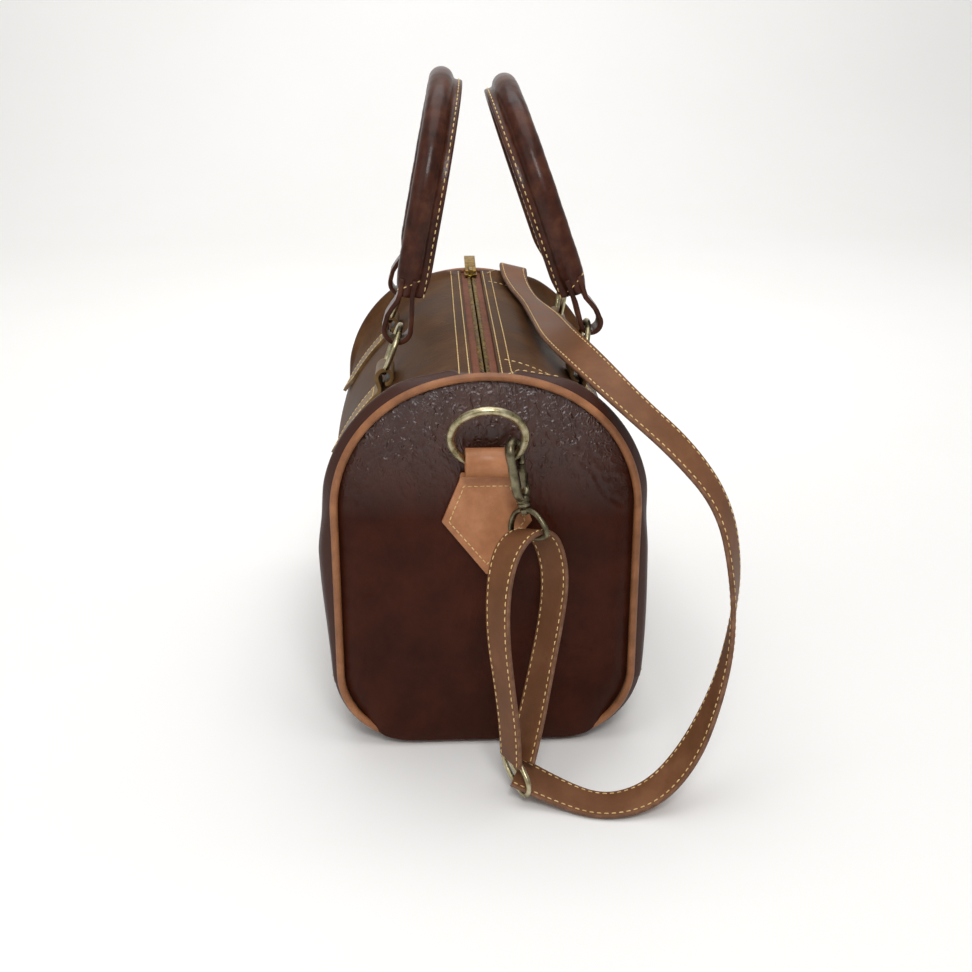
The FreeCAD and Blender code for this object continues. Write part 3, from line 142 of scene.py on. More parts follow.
# Leather: slow changes of colour, fine cells and pores, and folds that can be kept to the upper part of a piece.
# Beyond a distance from the middle of the bag it can take another colour and shine.
def leather(name, **look):
    look = {**hide, **look}
    material, tree, place = startMaterial(name)
    shade, patch = mottled(tree, place, look)
    grain, depth = look["grain"] * mm, look["grainDepth"] * mm
    cells = addNode(tree, "TexVoronoi", {"Vector": place, "Scale": 1 / grain})
    pores = addNode(tree, "TexNoise", {
        "Vector": place, "Scale": look["poresPerGrain"] / grain, "Detail": look["poreDetail"]})
    drawn = addNode(tree, "Mapping", {"Vector": place, "Scale": look["stretch"]})
    folds = addNode(tree, "TexNoise", {
        "Vector": drawn.outputs["Vector"], "Scale": 1 / (look["fold"] * mm), "Detail": look["foldDetail"],
        "Distortion": look["foldWarp"]}, noise_type="RIDGED_MULTIFRACTAL")
    height, shine = folds.outputs["Fac"], look["shine"]
    if "foldsAbove" in look:
        upright = addNode(tree, "SeparateXYZ", {"Vector": place}).outputs["Z"]
        low, high = look["foldsAbove"]
        share = mapped(tree, upright, look["lowFolds"], 1.0, low * mm, high * mm)
        height, shine = (worked(tree, "MULTIPLY", value, share) for value in (height, shine))
    # The other colour beyond that distance is painted shade: on the body leather it is a darker red that stands in
    # for the shade of the groove by the piping
    if "edgeBeyond" in look:
        lengthwise = addNode(tree, "SeparateXYZ", {"Vector": place}).outputs["X"]
        low, high = look["edgeBeyond"]
        share = mapped(tree, worked(tree, "ABSOLUTE", lengthwise), 0.0, 1.0, low * mm, high * mm)
        shade = addNode(tree, "MixRGB", {
            "Fac": share, "Color1": shade, "Color2": colour(look["edge"])}).outputs["Color"]
        shine = mapped(tree, share, shine, look["edgeShine"], 0.0, 1.0)
    normal = bumped(tree, height, look["foldDepth"] * mm)
    normal = bumped(tree, cells.outputs["Distance"], depth, normal)
    normal = bumped(tree, pores.outputs["Fac"], depth / look["poresPerGrain"], normal)
    endMaterial(tree, {
        "Base Color": shade, "Roughness": mapped(tree, patch, look["rough"], look["rough"] + look["roughSpread"]),
        "Normal": normal, "Coat Weight": look["coat"], "Coat Roughness": look["coatRough"],
        "Specular IOR Level": shine})
    return material


# Scratches of all the metals, with their size and depth in mm
scratches = dict(size=0.8, depth=0.04, detail=4.0, roughSpread=0.18)


def metal(name, **look):
    material, tree, place = startMaterial(name)
    shade, patch = mottled(tree, place, look)
    scratch = addNode(tree, "TexNoise", {
        "Vector": place, "Scale": 1 / (scratches["size"] * mm), "Detail": scratches["detail"]})
    endMaterial(tree, {
        "Base Color": shade, "Metallic": 1.0,
        "Normal": bumped(tree, scratch.outputs["Fac"], scratches["depth"] * mm),
        "Roughness": mapped(tree, patch, look["rough"], look["rough"] + scratches["roughSpread"])})
    return material


# A wave texture repeats after about two pi; the relief is a share of the thread's width
weave = dict(turn=6.28, warp=0.4, relief=0.25)


# Two sets of threads that cross, which give a woven face in colour and height
def woven(name, **look):
    material, tree, place = startMaterial(name)
    shade = mottled(tree, place, look)[0]
    threads = [addNode(tree, "TexWave", {
        "Vector": place, "Scale": 1 / (look["thread"] * mm) / weave["turn"], "Distortion": weave["warp"]},
        bands_direction=direction).outputs["Fac"] for direction in ("X", "DIAGONAL")]
    cross = worked(tree, "MULTIPLY", *threads)
    mixed = addNode(tree, "MixRGB", {"Fac": cross, "Color1": colour(look["shades"][:6]), "Color2": shade})
    endMaterial(tree, {
        "Base Color": mixed.outputs["Color"], "Roughness": look["rough"],
        "Normal": bumped(tree, cross, look["thread"] * mm * weave["relief"])})
    return material


# Dark brown leather with a low sheen and soft folds; from the turned edge out to the piping it takes a darker, redder
# colour, painted shade of the groove there, and it is shinier
oxblood = leather(
    "oxblood_leather", shades="3d2817 503520 61452e", patch=34, grain=1.3, grainDepth=0.05, fold=9, foldDepth=0.20,
    rough=0.40, shine=0.03, edgeBeyond=(134, 139), edge="3a1c12")
# Redder leather with fine crackled folds that catch the light near the top, as on the end panels
crackled = leather(
    "crackled_leather", shades="31150d 391a10 421f14", patch=26, grain=1.1, fold=3.2, stretch=(1.0, 1.0, 0.7),
    foldDepth=1.4, foldDetail=0.8, foldsAbove=(145, 205), rough=0.31, shine=0.80)
# Smooth tan leather of the piping
tan = leather(
    "tan_leather", shades="74482a 8d5b38 a56e47", patch=16, grain=0.8, fold=7, foldDepth=0.06, rough=0.44, coat=0.04)
# Paler tan leather of the end tabs
tabTan = leather(
    "tab_leather", shades="925e3b a66d46 b87f57", patch=16, grain=0.8, fold=7, foldDepth=0.05, rough=0.40, coat=0.06)
# Strap leather, a duller brown tan than the tabs
strapTan = leather(
    "strap_leather", shades="654229 714a31 7e563b", patch=26, grain=0.7, fold=11, foldDepth=0.06, rough=0.44,
    shine=0.16)
# Cut edge of the strap, dyed a duller brown than its faces
strapEdge = leather(
    "strap_edge", shades="543724 6b4730 825e46", patch=5, grain=0.4, fold=3, foldDepth=0.05, rough=0.60)
# Dark red-brown rolled leather that shines along its length, as on the handles
handleBrown = leather(
    "handle_leather", shades="2c130b 401f13 55301f", patch=12, grain=1.0, grainDepth=0.05, fold=6, foldDepth=0.09,
    rough=0.28, coat=0.08, shine=0.22)
# Olive tan leather of the four chapes
chapeBrown = leather(
    "chape_leather", shades="50391f 6d5230 866a43", patch=12, grain=0.9, fold=6, foldDepth=0.07, rough=0.42,
    coat=0.04, shine=0.2)
# Pale worn brass of the rings and the slide
paleBrass = metal("pale_antique_brass", shades="7d7354 b0a582 d2c9ac", patch=5, rough=0.24)
# Darker tarnished brass of the two hooks
darkBrass = metal("dark_antique_brass", shades="474031 726a54 938b70", patch=5, rough=0.30)
# Brown brass of the zip
zipBrass = metal("zip_brass", shades="5c4620 96783a c0a35a", patch=4, rough=0.32)
# Dull steel of the gate springs
springSteel = metal("spring_steel", shades="6c6c6a 8d8d8a a8a8a4", patch=4, rough=0.30)
# Rust-brown woven tape of the zip
zipTape = woven("zip_tape", shades="623620 965538 ad6a48", patch=9, thread=0.7, rough=0.80)
# Plain brown cotton that lines the bag
liningCloth = woven("lining_cloth", shades="4a3524 6b4f38 7b5e45", patch=22, thread=0.6, rough=0.85)
# Waxed cream thread of all the seams
thread = leather(
    "cream_thread", shades="bb9c60 dab97c ecd5a2", patch=3, grain=0.3, grainDepth=0.05, fold=1, foldDepth=0.03,
    rough=0.60)
# Grey-brown fibre of the base board
fibre = leather(
    "fibre_board", shades="6a5a48 80705c 938470", patch=7, grain=0.6, grainDepth=0.08, fold=4, foldDepth=0.05,
    rough=0.85)
# Twisted cotton cord inside the handles
cotton = woven("cotton_cord", shades="9c907c c2b8a4 d6cdbb", patch=6, thread=1.6, rough=0.90)
print("stage: materials made")


def activate(piece):
    bpy.ops.object.select_all(action="DESELECT")
    piece.select_set(True)
    bpy.context.view_layer.objects.active = piece


def applyModifier(piece, kind, **settings):
    activate(piece)
    modifier = piece.modifiers.new(kind.lower(), kind)
    for name, value in settings.items():
        setattr(modifier, name, value)
    bpy.ops.object.modifier_apply(modifier=modifier.name)


def bevel(piece, width, segments, degrees):
    applyModifier(piece, "BEVEL", width=width, segments=segments, limit_method="ANGLE",
                  angle_limit=math.radians(degrees))


# Gives a sheet its thickness, inward from its face (-1) or to both sides of it (0)
def thicken(piece, thickness, side):
    applyModifier(piece, "SOLIDIFY", thickness=thickness, offset=side)


def smooth(piece, degrees):
    activate(piece)
    bpy.ops.object.shade_smooth_by_angle(angle=math.radians(degrees))


def dress(piece, *materials):
    piece.data.materials.clear()
    for material in materials:
        piece.data.materials.append(material)
    return piece


def linked(name, data):
    piece = bpy.data.objects.new(name, data)
    bpy.context.collection.objects.link(piece)
    return piece


def meshPiece(name, points, faces):
    mesh = bpy.data.meshes.new(name)
    mesh.from_pydata([tuple(p) for p in points], [], faces)
    return linked(name, mesh)


# Steps of editMesh, which takes them over a whole mesh
def joinPoints():
    bpy.ops.mesh.remove_doubles(threshold=1e-6)


def closeHoles():
    bpy.ops.mesh.fill_holes(sides=0)


def alignFaces():
    bpy.ops.mesh.normals_make_consistent(inside=False)


def editMesh(piece, *steps):
    activate(piece)
    bpy.ops.object.mode_set(mode="EDIT")
    bpy.ops.mesh.select_all(action="SELECT")
    for step in steps:
        step()
    bpy.ops.object.mode_set(mode="OBJECT")


# Turns an open sheet so that its faces look away from the middle of the bag
bagMiddle = Vector((0, 0, 0.11))


def faceOut(piece):
    outward = sum((face.center - bagMiddle).dot(face.normal) * face.area for face in piece.data.polygons)
    if outward < 0:
        piece.data.flip_normals()


# A grid whose points are moved by place(u, v); u and v run from 0 to 1 along its columns and rows
def shapedGrid(name, columns, rows, place, closed=False):
    bpy.ops.mesh.primitive_grid_add(x_subdivisions=columns, y_subdivisions=rows, size=1)
    piece = bpy.context.object
    piece.name = name
    piece.data.name = name
    points = np.empty(3 * len(piece.data.vertices))
    piece.data.vertices.foreach_get("co", points)
    u, v = points.reshape(-1, 3)[:, 0] + 0.5, points.reshape(-1, 3)[:, 1] + 0.5
    piece.data.vertices.foreach_set("co", place(u, v).ravel())
    piece.data.update()
    if closed:
        editMesh(piece, joinPoints, closeHoles, alignFaces)
    else:
        editMesh(piece, joinPoints, alignFaces)
        faceOut(piece)
    return piece


def stacked(*parts):
    return np.stack(parts, -1)


def repeated(way, count):
    return np.tile(way, (count, 1))


# Number of the station at that share of the way
def station(share, count):
    return np.rint(share * count).astype(int)


# From 0 at the start to 1 after a length; with a negative length, from 1 before the start down to 0 at it
def ramp(value, start, length):
    return np.clip((value - start) / length, 0, 1)


def eased(value, start, length):
    share = ramp(value, start, length)
    return share * share * (3 - 2 * share)


def unit(vectors):
    return vectors / np.linalg.norm(vectors, axis=-1, keepdims=True)


def stepLengths(line):
    return np.linalg.norm(np.diff(line, axis=0), axis=1)


def tangents(line, ring=False):
    if ring:
        return unit(np.roll(line, -1, 0) - np.roll(line, 1, 0))
    return unit(np.gradient(line, axis=0))


# A closed section carried along a line: each station has its own two directions
def sweep(name, line, across, out, section, ring=False):
    line, across, out = (np.asarray(a, dtype=float) for a in (line, across, out))
    count = len(line)
    section = np.broadcast_to(section, (count,) + np.shape(section)[-2:])
    sides = section.shape[1]
    columns = count if ring else count - 1

    def place(u, v):
        i, j = station(u, columns) % count, station(v, sides) % sides
        return line[i] + across[i] * section[i, j, :1] + out[i] * section[i, j, 1:]

    return shapedGrid(name, columns, sides, place, closed=True)


def roundSection(radius, sides, depth=None):
    angles = np.linspace(0, 2 * pi, sides, endpoint=False)
    return stacked(radius * np.cos(angles), (depth or radius) * np.sin(angles))


# A wire bent in one plane
def bentWire(name, line, planeNormal, section, ring=False):
    line = np.asarray(line, dtype=float)
    out = np.broadcast_to(unit(np.asarray(planeNormal, dtype=float)), line.shape)
    return sweep(name, line, np.cross(out, tangents(line, ring)), out, section, ring)


# A closed path whose corners are cut three times, which rounds them
def softened(points):
    points = np.asarray(points, dtype=float)
    for step in range(3):
        after = np.roll(points, -1, 0)
        pairs = np.stack([0.75 * points + 0.25 * after, 0.25 * points + 0.75 * after], 1)
        points = pairs.reshape(-1, points.shape[1])
    return points


# Real thread: one short bent capsule copied along each line, laid just into the surface.
# Its rings are given as shares of its length and radius.
stitch = dict(length=2.6 * mm, radius=0.33 * mm, sides=6, look=0.4, along=(-0.5, -0.34, 0.34, 0.5),
              girth=(0.45, 1.0, 1.0, 0.45), height=(-0.9, 0.15, 0.15, -0.9))


def stitching(name, rows, pitch):
    sides, radius, rings = stitch["sides"], stitch["radius"], len(stitch["along"]) - 1
    angles = np.linspace(0, 2 * pi, sides, endpoint=False)
    points, faces = [], []
    for line, normals in rows:
        line, normals = np.asarray(line), unit(np.asarray(normals, dtype=float))
        run = np.concatenate([[0], np.cumsum(stepLengths(line))])
        count = max(1, int(run[-1] / pitch))
        spots = (np.arange(count) + 0.5) * run[-1] / count
        look = stitch["look"] * pitch

        def at(values, where):
            return stacked(*(np.interp(where, run, values[:, k]) for k in range(3)))

        middle, up = at(line, spots), unit(at(normals, spots))
        ahead = unit(at(line, spots + look) - at(line, spots - look))
        aside = np.cross(ahead, up)
        for k in range(count):
            start = len(points)
            for a, g, h in zip(stitch["along"], stitch["girth"], stitch["height"]):
                core = middle[k] + ahead[k] * a * stitch["length"] + up[k] * h * radius
                for angle in angles:
                    points.append(core + g * radius * (math.cos(angle) * aside[k] + math.sin(angle) * up[k]))
            for ring in range(rings):
                for j in range(sides):
                    a, b = start + ring * sides + j, start + ring * sides + (j + 1) % sides
                    faces.append((a, b, b + sides, a + sides))
            faces.append(tuple(start + j for j in reversed(range(sides))))
            faces.append(tuple(start + rings * sides + j for j in range(sides)))
    piece = meshPiece(name, points, faces)
    smooth(piece, 60)
    return dress(piece, thread)


# The bag's sizes; its body hangs slack between the ends, with a lower crown and flatter shoulders
bag = dict(half=0.145, endWidth=0.170, endHeight=0.221, crown=0.100, shoulder=0.076, corner=0.042, bulge=0.005,
           slackCrown=0.070, slackShoulder=0.110, drop=0.0045, leather=0.0022, baseSeam=0.040, baseSunk=0.0003,
           mouth=0.0072, softEdge=0.0005, thread=0.00005)
# How the body meets the piping: a short roll all round, a ridge on the shoulders and a turned edge
rim = dict(roll=0.011, steep=0.999, rest=0.0008, ridge=0.040, crest=0.0032, ridgeOn=(0, 0.25), ridgeOff=(0.92, -0.25),
           lip=0.0034, lipBack=0.0078, lipHalf=0.0046, lipRise=0.04, lipStop=0.011, lipFade=-0.006)
# The belly of each side: its height, where it starts and ends along the section, and how peaked it is
bellies = {-1: (0.0056, 0.087, 0.271, 1.6), 1: (0.0042, 0.060, 0.256, 1.3)}
# Soft unevenness of the leather: each ripple has a height, its radians per metre along x and d, and a phase
uneven = dict(on=(0.06, 0.08), fade=-0.03, sunk=0.0005, ripples=((0.0006, 38, 16, 0.6), (0.0004, 24, -40, 2.1)))


# Places along a cross-section, measured from the middle of the base round one side to the top
def sectionPlan(crown, shoulder, drop):
    flat = bag["endWidth"] / 2 - bag["corner"]
    cornerZ = bag["bulge"] + bag["corner"]
    crownZ = bag["bulge"] + bag["endHeight"] - drop - crown
    shoulderY = bag["endWidth"] / 2 - shoulder
    rise = math.sqrt((crown - shoulder) ** 2 - shoulderY ** 2)
    shoulderZ = crownZ + math.copysign(rise, crown - shoulder)
    turn = math.atan2(rise, abs(shoulderY))
    runs = np.cumsum([flat, bag["corner"] * pi / 2, shoulderZ - cornerZ, shoulder * turn, crown * (pi / 2 - turn)])
    return dict(flat=flat, cornerZ=cornerZ, crownZ=crownZ, shoulderY=shoulderY, shoulderZ=shoulderZ, turn=turn,
                runs=runs, crown=crown, shoulder=shoulder, full=runs[-1])


# Point and outward normal of a section at distance d from the middle of the base, rear side positive
def along(plan, d):
    run, runs = np.abs(d), plan["runs"]
    kinds = [run <= runs[0], run <= runs[1], run <= runs[2], run <= runs[3]]
    angle = np.select(kinds, [-pi / 2 + 0 * run, (run - runs[0]) / bag["corner"] - pi / 2, 0 * run,
                              (run - runs[2]) / plan["shoulder"]], plan["turn"] + (run - runs[3]) / plan["crown"])
    ny, nz = np.cos(angle), np.sin(angle)
    y = np.select(kinds, [run, plan["flat"] + bag["corner"] * ny, bag["endWidth"] / 2 + 0 * run,
                          plan["shoulderY"] + plan["shoulder"] * ny], plan["crown"] * ny)
    z = np.select(kinds, [bag["bulge"] + 0 * run, plan["cornerZ"] + bag["corner"] * nz,
                          plan["cornerZ"] + run - runs[1], plan["shoulderZ"] + plan["shoulder"] * nz],
                  plan["crownZ"] + plan["crown"] * nz)
    side = np.where(np.asarray(d) < 0, -1.0, 1.0)
    return side * y, z, side * ny, nz


seam = sectionPlan(bag["crown"], bag["shoulder"], 0.0)
body = sectionPlan(bag["slackCrown"], bag["slackShoulder"], bag["drop"])


# Shares of the way from the slack body to the piping: a short roll all round, a long ridge on the shoulders
def endShares(x, d):
    edge = ramp(np.abs(x), bag["half"] - rim["roll"], rim["roll"])
    roll = 1 - np.sqrt(1 - rim["steep"] * edge ** 2)
    upper = (np.abs(d) - body["runs"][2]) / (body["full"] - body["runs"][2])
    near = eased(np.abs(x), bag["half"] - rim["ridge"], rim["ridge"])
    return roll, near * eased(upper, *rim["ridgeOn"]) * eased(upper, *rim["ridgeOff"])


# Soft unevenness of the leather above the base, and the belly of its sides
def waves(x, d):
    run = np.abs(d)
    high = ramp(run, *uneven["on"])
    low = sum(tall * np.sin(a * x + b * d + phase) for tall, a, b, phase in uneven["ripples"]) - uneven["sunk"]
    belly = 0 * run
    for side, (tall, start, end, power) in bellies.items():
        belly += (np.sign(d) == side) * tall * np.sin(pi * ramp(run, start, end - start)) ** power
    return high * low * ramp(run, body["full"], uneven["fade"]) + belly


# The turned edge of the leather stands up just behind the piping, over the shoulders and up to the zip
def turnedEdge(x, d):
    run = np.abs(d)
    upper = eased(run, body["runs"][2], rim["lipRise"]) * eased(run, body["full"] - rim["lipStop"], rim["lipFade"])
    return rim["lip"] * upper * np.exp(-((bag["half"] - np.abs(x) - rim["lipBack"]) / rim["lipHalf"]) ** 2)


# Point of the body at x and at distance d along its section, lifted off the leather's face
def skin(x, d, lift=0.0):
    y, z, ny, nz = along(body, d)
    lift = lift + turnedEdge(x, d)
    grow = bag["bulge"] + lift + waves(x, d)
    stretch = (seam["full"] - seam["runs"][1]) / (body["full"] - body["runs"][1])
    over = np.maximum(np.abs(d) - body["runs"][1], 0)
    endY, endZ, endNy, endNz = along(seam, np.sign(d) * (np.abs(d) - over + over * stretch))
    roll, ridge = endShares(x, d)
    share = roll + ridge * (1 - roll)
    endGrow = rim["rest"] + lift + rim["crest"] * (1 - roll)
    y = (1 - share) * (y + ny * grow) + share * (endY + endNy * endGrow)
    z = (1 - share) * (z + nz * grow) + share * (endZ + endNz * endGrow)
    return stacked(x + 0 * y, y, z)


# A seam's line on the skin, with the way out of the leather at each point
def seamRow(x, d):
    y, z, ny, nz = along(body, d)
    return skin(x, d, bag["thread"]), stacked(0 * ny, ny, nz)


# Distance along the body's section of a point of the crown at that y
def crownRun(y):
    reach = bag["slackCrown"] + bag["bulge"]
    return np.sign(y) * (body["full"] - bag["slackCrown"] * np.arcsin(np.abs(y) / reach))


seamTurn = math.asin((bag["baseSeam"] - body["cornerZ"]) / (bag["corner"] + bag["bulge"]))
seamRun = body["runs"][0] + bag["corner"] * (seamTurn + pi / 2)
mouthRun = float(crownRun(bag["mouth"]))

# The front of the mouth folds with the joint, most at the middle of its length and not at all at the zip's ends
fold = dict(start=-0.050, end=-0.036, full=0.045, still=0.120)


def foldWithMouth(piece):
    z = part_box("front_mouth_flap")[0].z
    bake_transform(piece, "bag", "mouth_flap", (0, fold["start"], z), (0, fold["end"], z))
    for vertex, weight in zip(piece.data.vertices, piece.data.attributes["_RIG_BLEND"].data):
        weight.value *= eased(abs(vertex.co.x), fold["still"], fold["full"] - fold["still"])


# Body leather
for name, side in (("front_leather", -1), ("rear_leather", 1)):
    half = shapedGrid(name, 170, 120, lambda u, v: skin(
        (2 * u - 1) * bag["half"], side * (seamRun + v * (mouthRun - seamRun))))
    thicken(half, bag["leather"], -1)
    bevel(half, bag["softEdge"], 2, 50)
    smooth(dress(half, oxblood), 50)
    if side < 0:
        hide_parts("front_panel", "front_mouth_flap")
        foldWithMouth(half)
    else:
        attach(half, "bag")
        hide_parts("rear_panel")
base = shapedGrid("base_leather", 110, 80, lambda u, v: skin(
    (2 * u - 1) * bag["half"], (2 * v - 1) * seamRun, -bag["baseSunk"]))
thicken(base, bag["leather"], -1)
smooth(dress(base, oxblood), 50)
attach(base, "bag")
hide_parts("base_panel")

# Lining under the front of the mouth, which folds with the leather
flapLining = dict(depth=-0.0036, thick=0.0009)
flapLow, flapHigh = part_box("flap_lining")
flapCloth = shapedGrid("flap_lining_cloth", 90, 20, lambda u, v: skin(
    (2 * u - 1) * flapHigh.x, crownRun(flapLow.y + v * (flapHigh.y - flapLow.y)), flapLining["depth"]))
thicken(flapCloth, flapLining["thick"], -1)
smooth(dress(flapCloth, liningCloth), 50)
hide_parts("flap_lining")
foldWithMouth(flapCloth)
print("stage: body leather made")

# End panels: pillowed leather, crinkled round the ring, with a few long creases.
# Each pair but the middle is a ramp's start and length.
panel = dict(edge=-0.00225, low=0.1431, rise=0.0058, shoulder=0.020, power=2.4, middle=(0.0, 0.150), brow=0.014,
             browed=(0.160, 0.040), crinkle=0.00075, crinkled=(0.135, 0.06), crinkleLow=0.22, crinkleMore=0.78,
             inner=(0, 0.012), cover=0.0036, overhang=0.0050, overhangFade=0.012, under=(0.040, -0.030),
             underSide=(0.078, -0.020), pucker=0.00030, puckers=62, puckerFade=0.006, puckered=(0, 0.002))
# The creases' ends in mm, and their shape: a groove that sways, with a low ridge beside it
crease = dict(deep=0.0007, half=0.0013, ridge=0.0003, ridgeAway=0.003, ridgeHalf=0.0015, sway=0.002, turns=7,
              ends=[((52, 178), (74, 152)), ((60, 170), (70, 168)), ((-60, 108), (-76, 92)),
                    ((40, 190), (62, 196)), ((-44, 188), (-66, 176)), ((30, 70), (58, 62))])
# Crinkles are the sum of straight folds at random turns, phases and lengths, each a little bent
wave = dict(count=24, turn=0.6, short=4.5, long=11.0, bend=0.5, bendY=90, bendZ=70, bendPhase=3, share=5)
rng = np.random.default_rng(11)
waveTurns = rng.normal(0, wave["turn"], wave["count"])
wavePhases = rng.uniform(0, 2 * pi, wave["count"])
waveLengths = rng.uniform(wave["short"], wave["long"], wave["count"]) * mm


def crinkles(y, z):
    total = 0 * y
    for angle, phase, length in zip(waveTurns, wavePhases, waveLengths):
        bend = wave["bend"] * np.sin(wave["bendY"] * y + wave["bendZ"] * z + wave["bendPhase"] * phase)
        total += 1 - 2 * np.abs(np.sin(pi / length * (y * np.cos(angle) + z * np.sin(angle)) + phase + bend))
    return total / wave["share"]


def panelFace(y, z, inset, angle, under):
    wide = panel["shoulder"] + panel["brow"] * eased(z, *panel["browed"])
    height = panel["low"] + panel["rise"] * (1 - (1 - np.clip(inset / wide, 0, 1)) ** panel["power"])
    share = panel["crinkleLow"] + panel["crinkleMore"] * ramp(z, *panel["crinkled"])
    height = height + panel["crinkle"] * np.clip(crinkles(y, z), -1, 1) * ramp(inset, *panel["inner"]) * share
    height = height + panel["overhang"] * under * np.exp(-inset / panel["overhangFade"])
    gather = panel["pucker"] * np.sin(panel["puckers"] * angle) * np.exp(-inset / panel["puckerFade"])
    height = height + gather * ramp(inset, *panel["puckered"])
    for start, end in crease["ends"]:
        a, b = np.array(start) * mm, np.array(end) * mm
        way = b - a
        share = np.clip(((y - a[0]) * way[0] + (z - a[1]) * way[1]) / way.dot(way), 0, 1)
        sway = crease["sway"] * np.sin(crease["turns"] * share)
        away = np.hypot(y - a[0] - share * way[0] - sway, z - a[1] - share * way[1])
        height = height - crease["deep"] * np.exp(-(away / crease["half"]) ** 2)
        height = height + crease["ridge"] * np.exp(-((away - crease["ridgeAway"]) / crease["ridgeHalf"]) ** 2)
    return height


pipe = dict(radius=0.00225, stations=320, sides=16)
for end, sign in bothEnds:
    def place(u, v):
        y, z, ny, nz = along(seam, (2 * u - 1) * seam["full"])
        under = eased(z, *panel["under"]) * eased(np.abs(y), *panel["underSide"])
        edge = panel["edge"] + panel["cover"] * under
        y, z = y + ny * edge, z + nz * edge
        middleY, middleZ = panel["middle"]
        inset = v * np.hypot(y - middleY, z - middleZ)
        y, z = y + v * (middleY - y), z + v * (middleZ - z)
        return stacked(sign * panelFace(sign * y, z, inset, 2 * pi * u, under), y, z)

    face = shapedGrid(f"{end}_end_leather", 460, 92, place)
    thicken(face, bag["leather"], -1)
    smooth(dress(face, crackled), 60)
    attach(face, "bag")
    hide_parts(f"{end}_end_panel")

    y, z, ny, nz = along(seam, np.linspace(-seam["full"], seam["full"], pipe["stations"], endpoint=False))
    line = stacked(0 * y + sign * bag["half"], y, z)
    piping = sweep(f"{end}_piping_leather", line, stacked(0 * y, ny, nz), repeated([1.0, 0, 0], len(y)),
                   roundSection(pipe["radius"], pipe["sides"]), ring=True)
    smooth(dress(piping, tan), 60)
    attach(piping, "bag")
    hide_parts(f"{end}_piping")
print("stage: end panels and piping made")

# Tabs and chapes: where the loop round the wire starts and ends, in degrees, and how full the bend up to it is
tabLoop = dict(first=-55, last=215, full=0.45, tipHalf=0.0004, tipInset=1.5, stitchPitch=3.3 * mm)


# A leather tab that widens from its tip, narrows to a neck and folds round a ring's wire.
# Its path lies in a plane of distance along the surface and height out from it.
def loopedTab(name, tab, place, material):
    tip, wide, neck, thick = (tab[key] for key in ("tip", "wide", "neck", "thick"))
    straight = np.concatenate([np.linspace(tip, wide, 15), np.linspace(wide, neck, 15)[1:]])
    corners = [tip, wide, neck]
    halves = [tabLoop["tipHalf"], tab["wideHalf"], tab["neckHalf"]]
    widths = np.interp(straight, corners, halves)
    path = stacked(straight, 0 * straight + thick / 2)
    first = math.radians(tabLoop["first"])
    turnsRound = np.linspace(first, math.radians(tabLoop["last"]), 30)
    circle = stacked(tab["loop"] + tab["shift"] + tab["long"] * np.sin(turnsRound),
                     tab["height"] + tab["radius"] * np.cos(turnsRound))
    reach = tabLoop["full"] * np.linalg.norm(circle[0] - path[-1])
    heads = (np.array([reach, 0.0]), reach * np.array([math.cos(first), -math.sin(first)]))
    t = np.linspace(0, 1, 12)[1:-1, None]
    rise = ((1 - t) ** 3 * path[-1] + 3 * t * (1 - t) ** 2 * (path[-1] + heads[0])
            + 3 * t ** 2 * (1 - t) * (circle[0] - heads[1]) + t ** 3 * circle[0])
    widths = np.concatenate([widths, np.linspace(tab["neckHalf"], tab["loopHalf"], len(rise)),
                             np.full(len(circle), tab["loopHalf"])])
    path = np.concatenate([path, rise, circle])
    columns = len(path) - 1
    flare = np.zeros(len(path))
    flare[-len(circle):] = tab["flare"] * np.clip(np.cos(turnsRound), 0, 1)

    def spot(u, v):
        i = station(u, columns)
        return place(path[i, 0], path[i, 1] + flare[i] * (2 * v - 1) ** 2, (2 * v - 1) * widths[i])

    piece = shapedGrid(name, columns, 12, spot)
    thicken(piece, thick, 0)
    bevel(piece, bag["softEdge"], 2, 45)
    smooth(dress(piece, material), 45)
    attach(piece, "bag")
    inset, top = tab["inset"], neck - tab["top"]
    topHalf = float(np.interp(top, corners, halves)) - inset
    border = [(top, topHalf), (wide, tab["wideHalf"] - inset), (tip + tabLoop["tipInset"] * inset, 0),
              (wide, inset - tab["wideHalf"]), (top, -topHalf), (top, topHalf)]
    fine = np.concatenate([np.linspace(a, b, 24, endpoint=False) for a, b in zip(border, border[1:])] + [border[-1:]])
    low, high = (place(fine[:, 0], 0 * fine[:, 0] + thick + lift, fine[:, 1]) for lift in (0.0, 0.001))
    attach(stitching(name + "_stitches", [(low, high - low)], tabLoop["stitchPitch"]), "bag")
    return piece


endTab = dict(tip=0.113, wide=0.145, neck=0.1695, loop=0.180, shift=0.0015, long=0.0068, height=0.0071,
              radius=0.0056, thick=0.0024, wideHalf=0.0250, neckHalf=0.0150, loopHalf=0.0120, inset=0.0040,
              top=0.0036, out=0.14975, flare=0.0032)
for end, sign in bothEnds:
    tabPiece = loopedTab(f"{end}_tab_leather", endTab, lambda rise, out, across: stacked(
        sign * (endTab["out"] + out), across, rise), tabTan)
    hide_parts(f"{end}_end_tab")


# Distance along the body's section of a point of the shoulder at that height
def shoulderRun(z):
    return body["runs"][2] + body["shoulder"] * math.asin((z - body["shoulderZ"]) / (body["shoulder"] + bag["bulge"]))


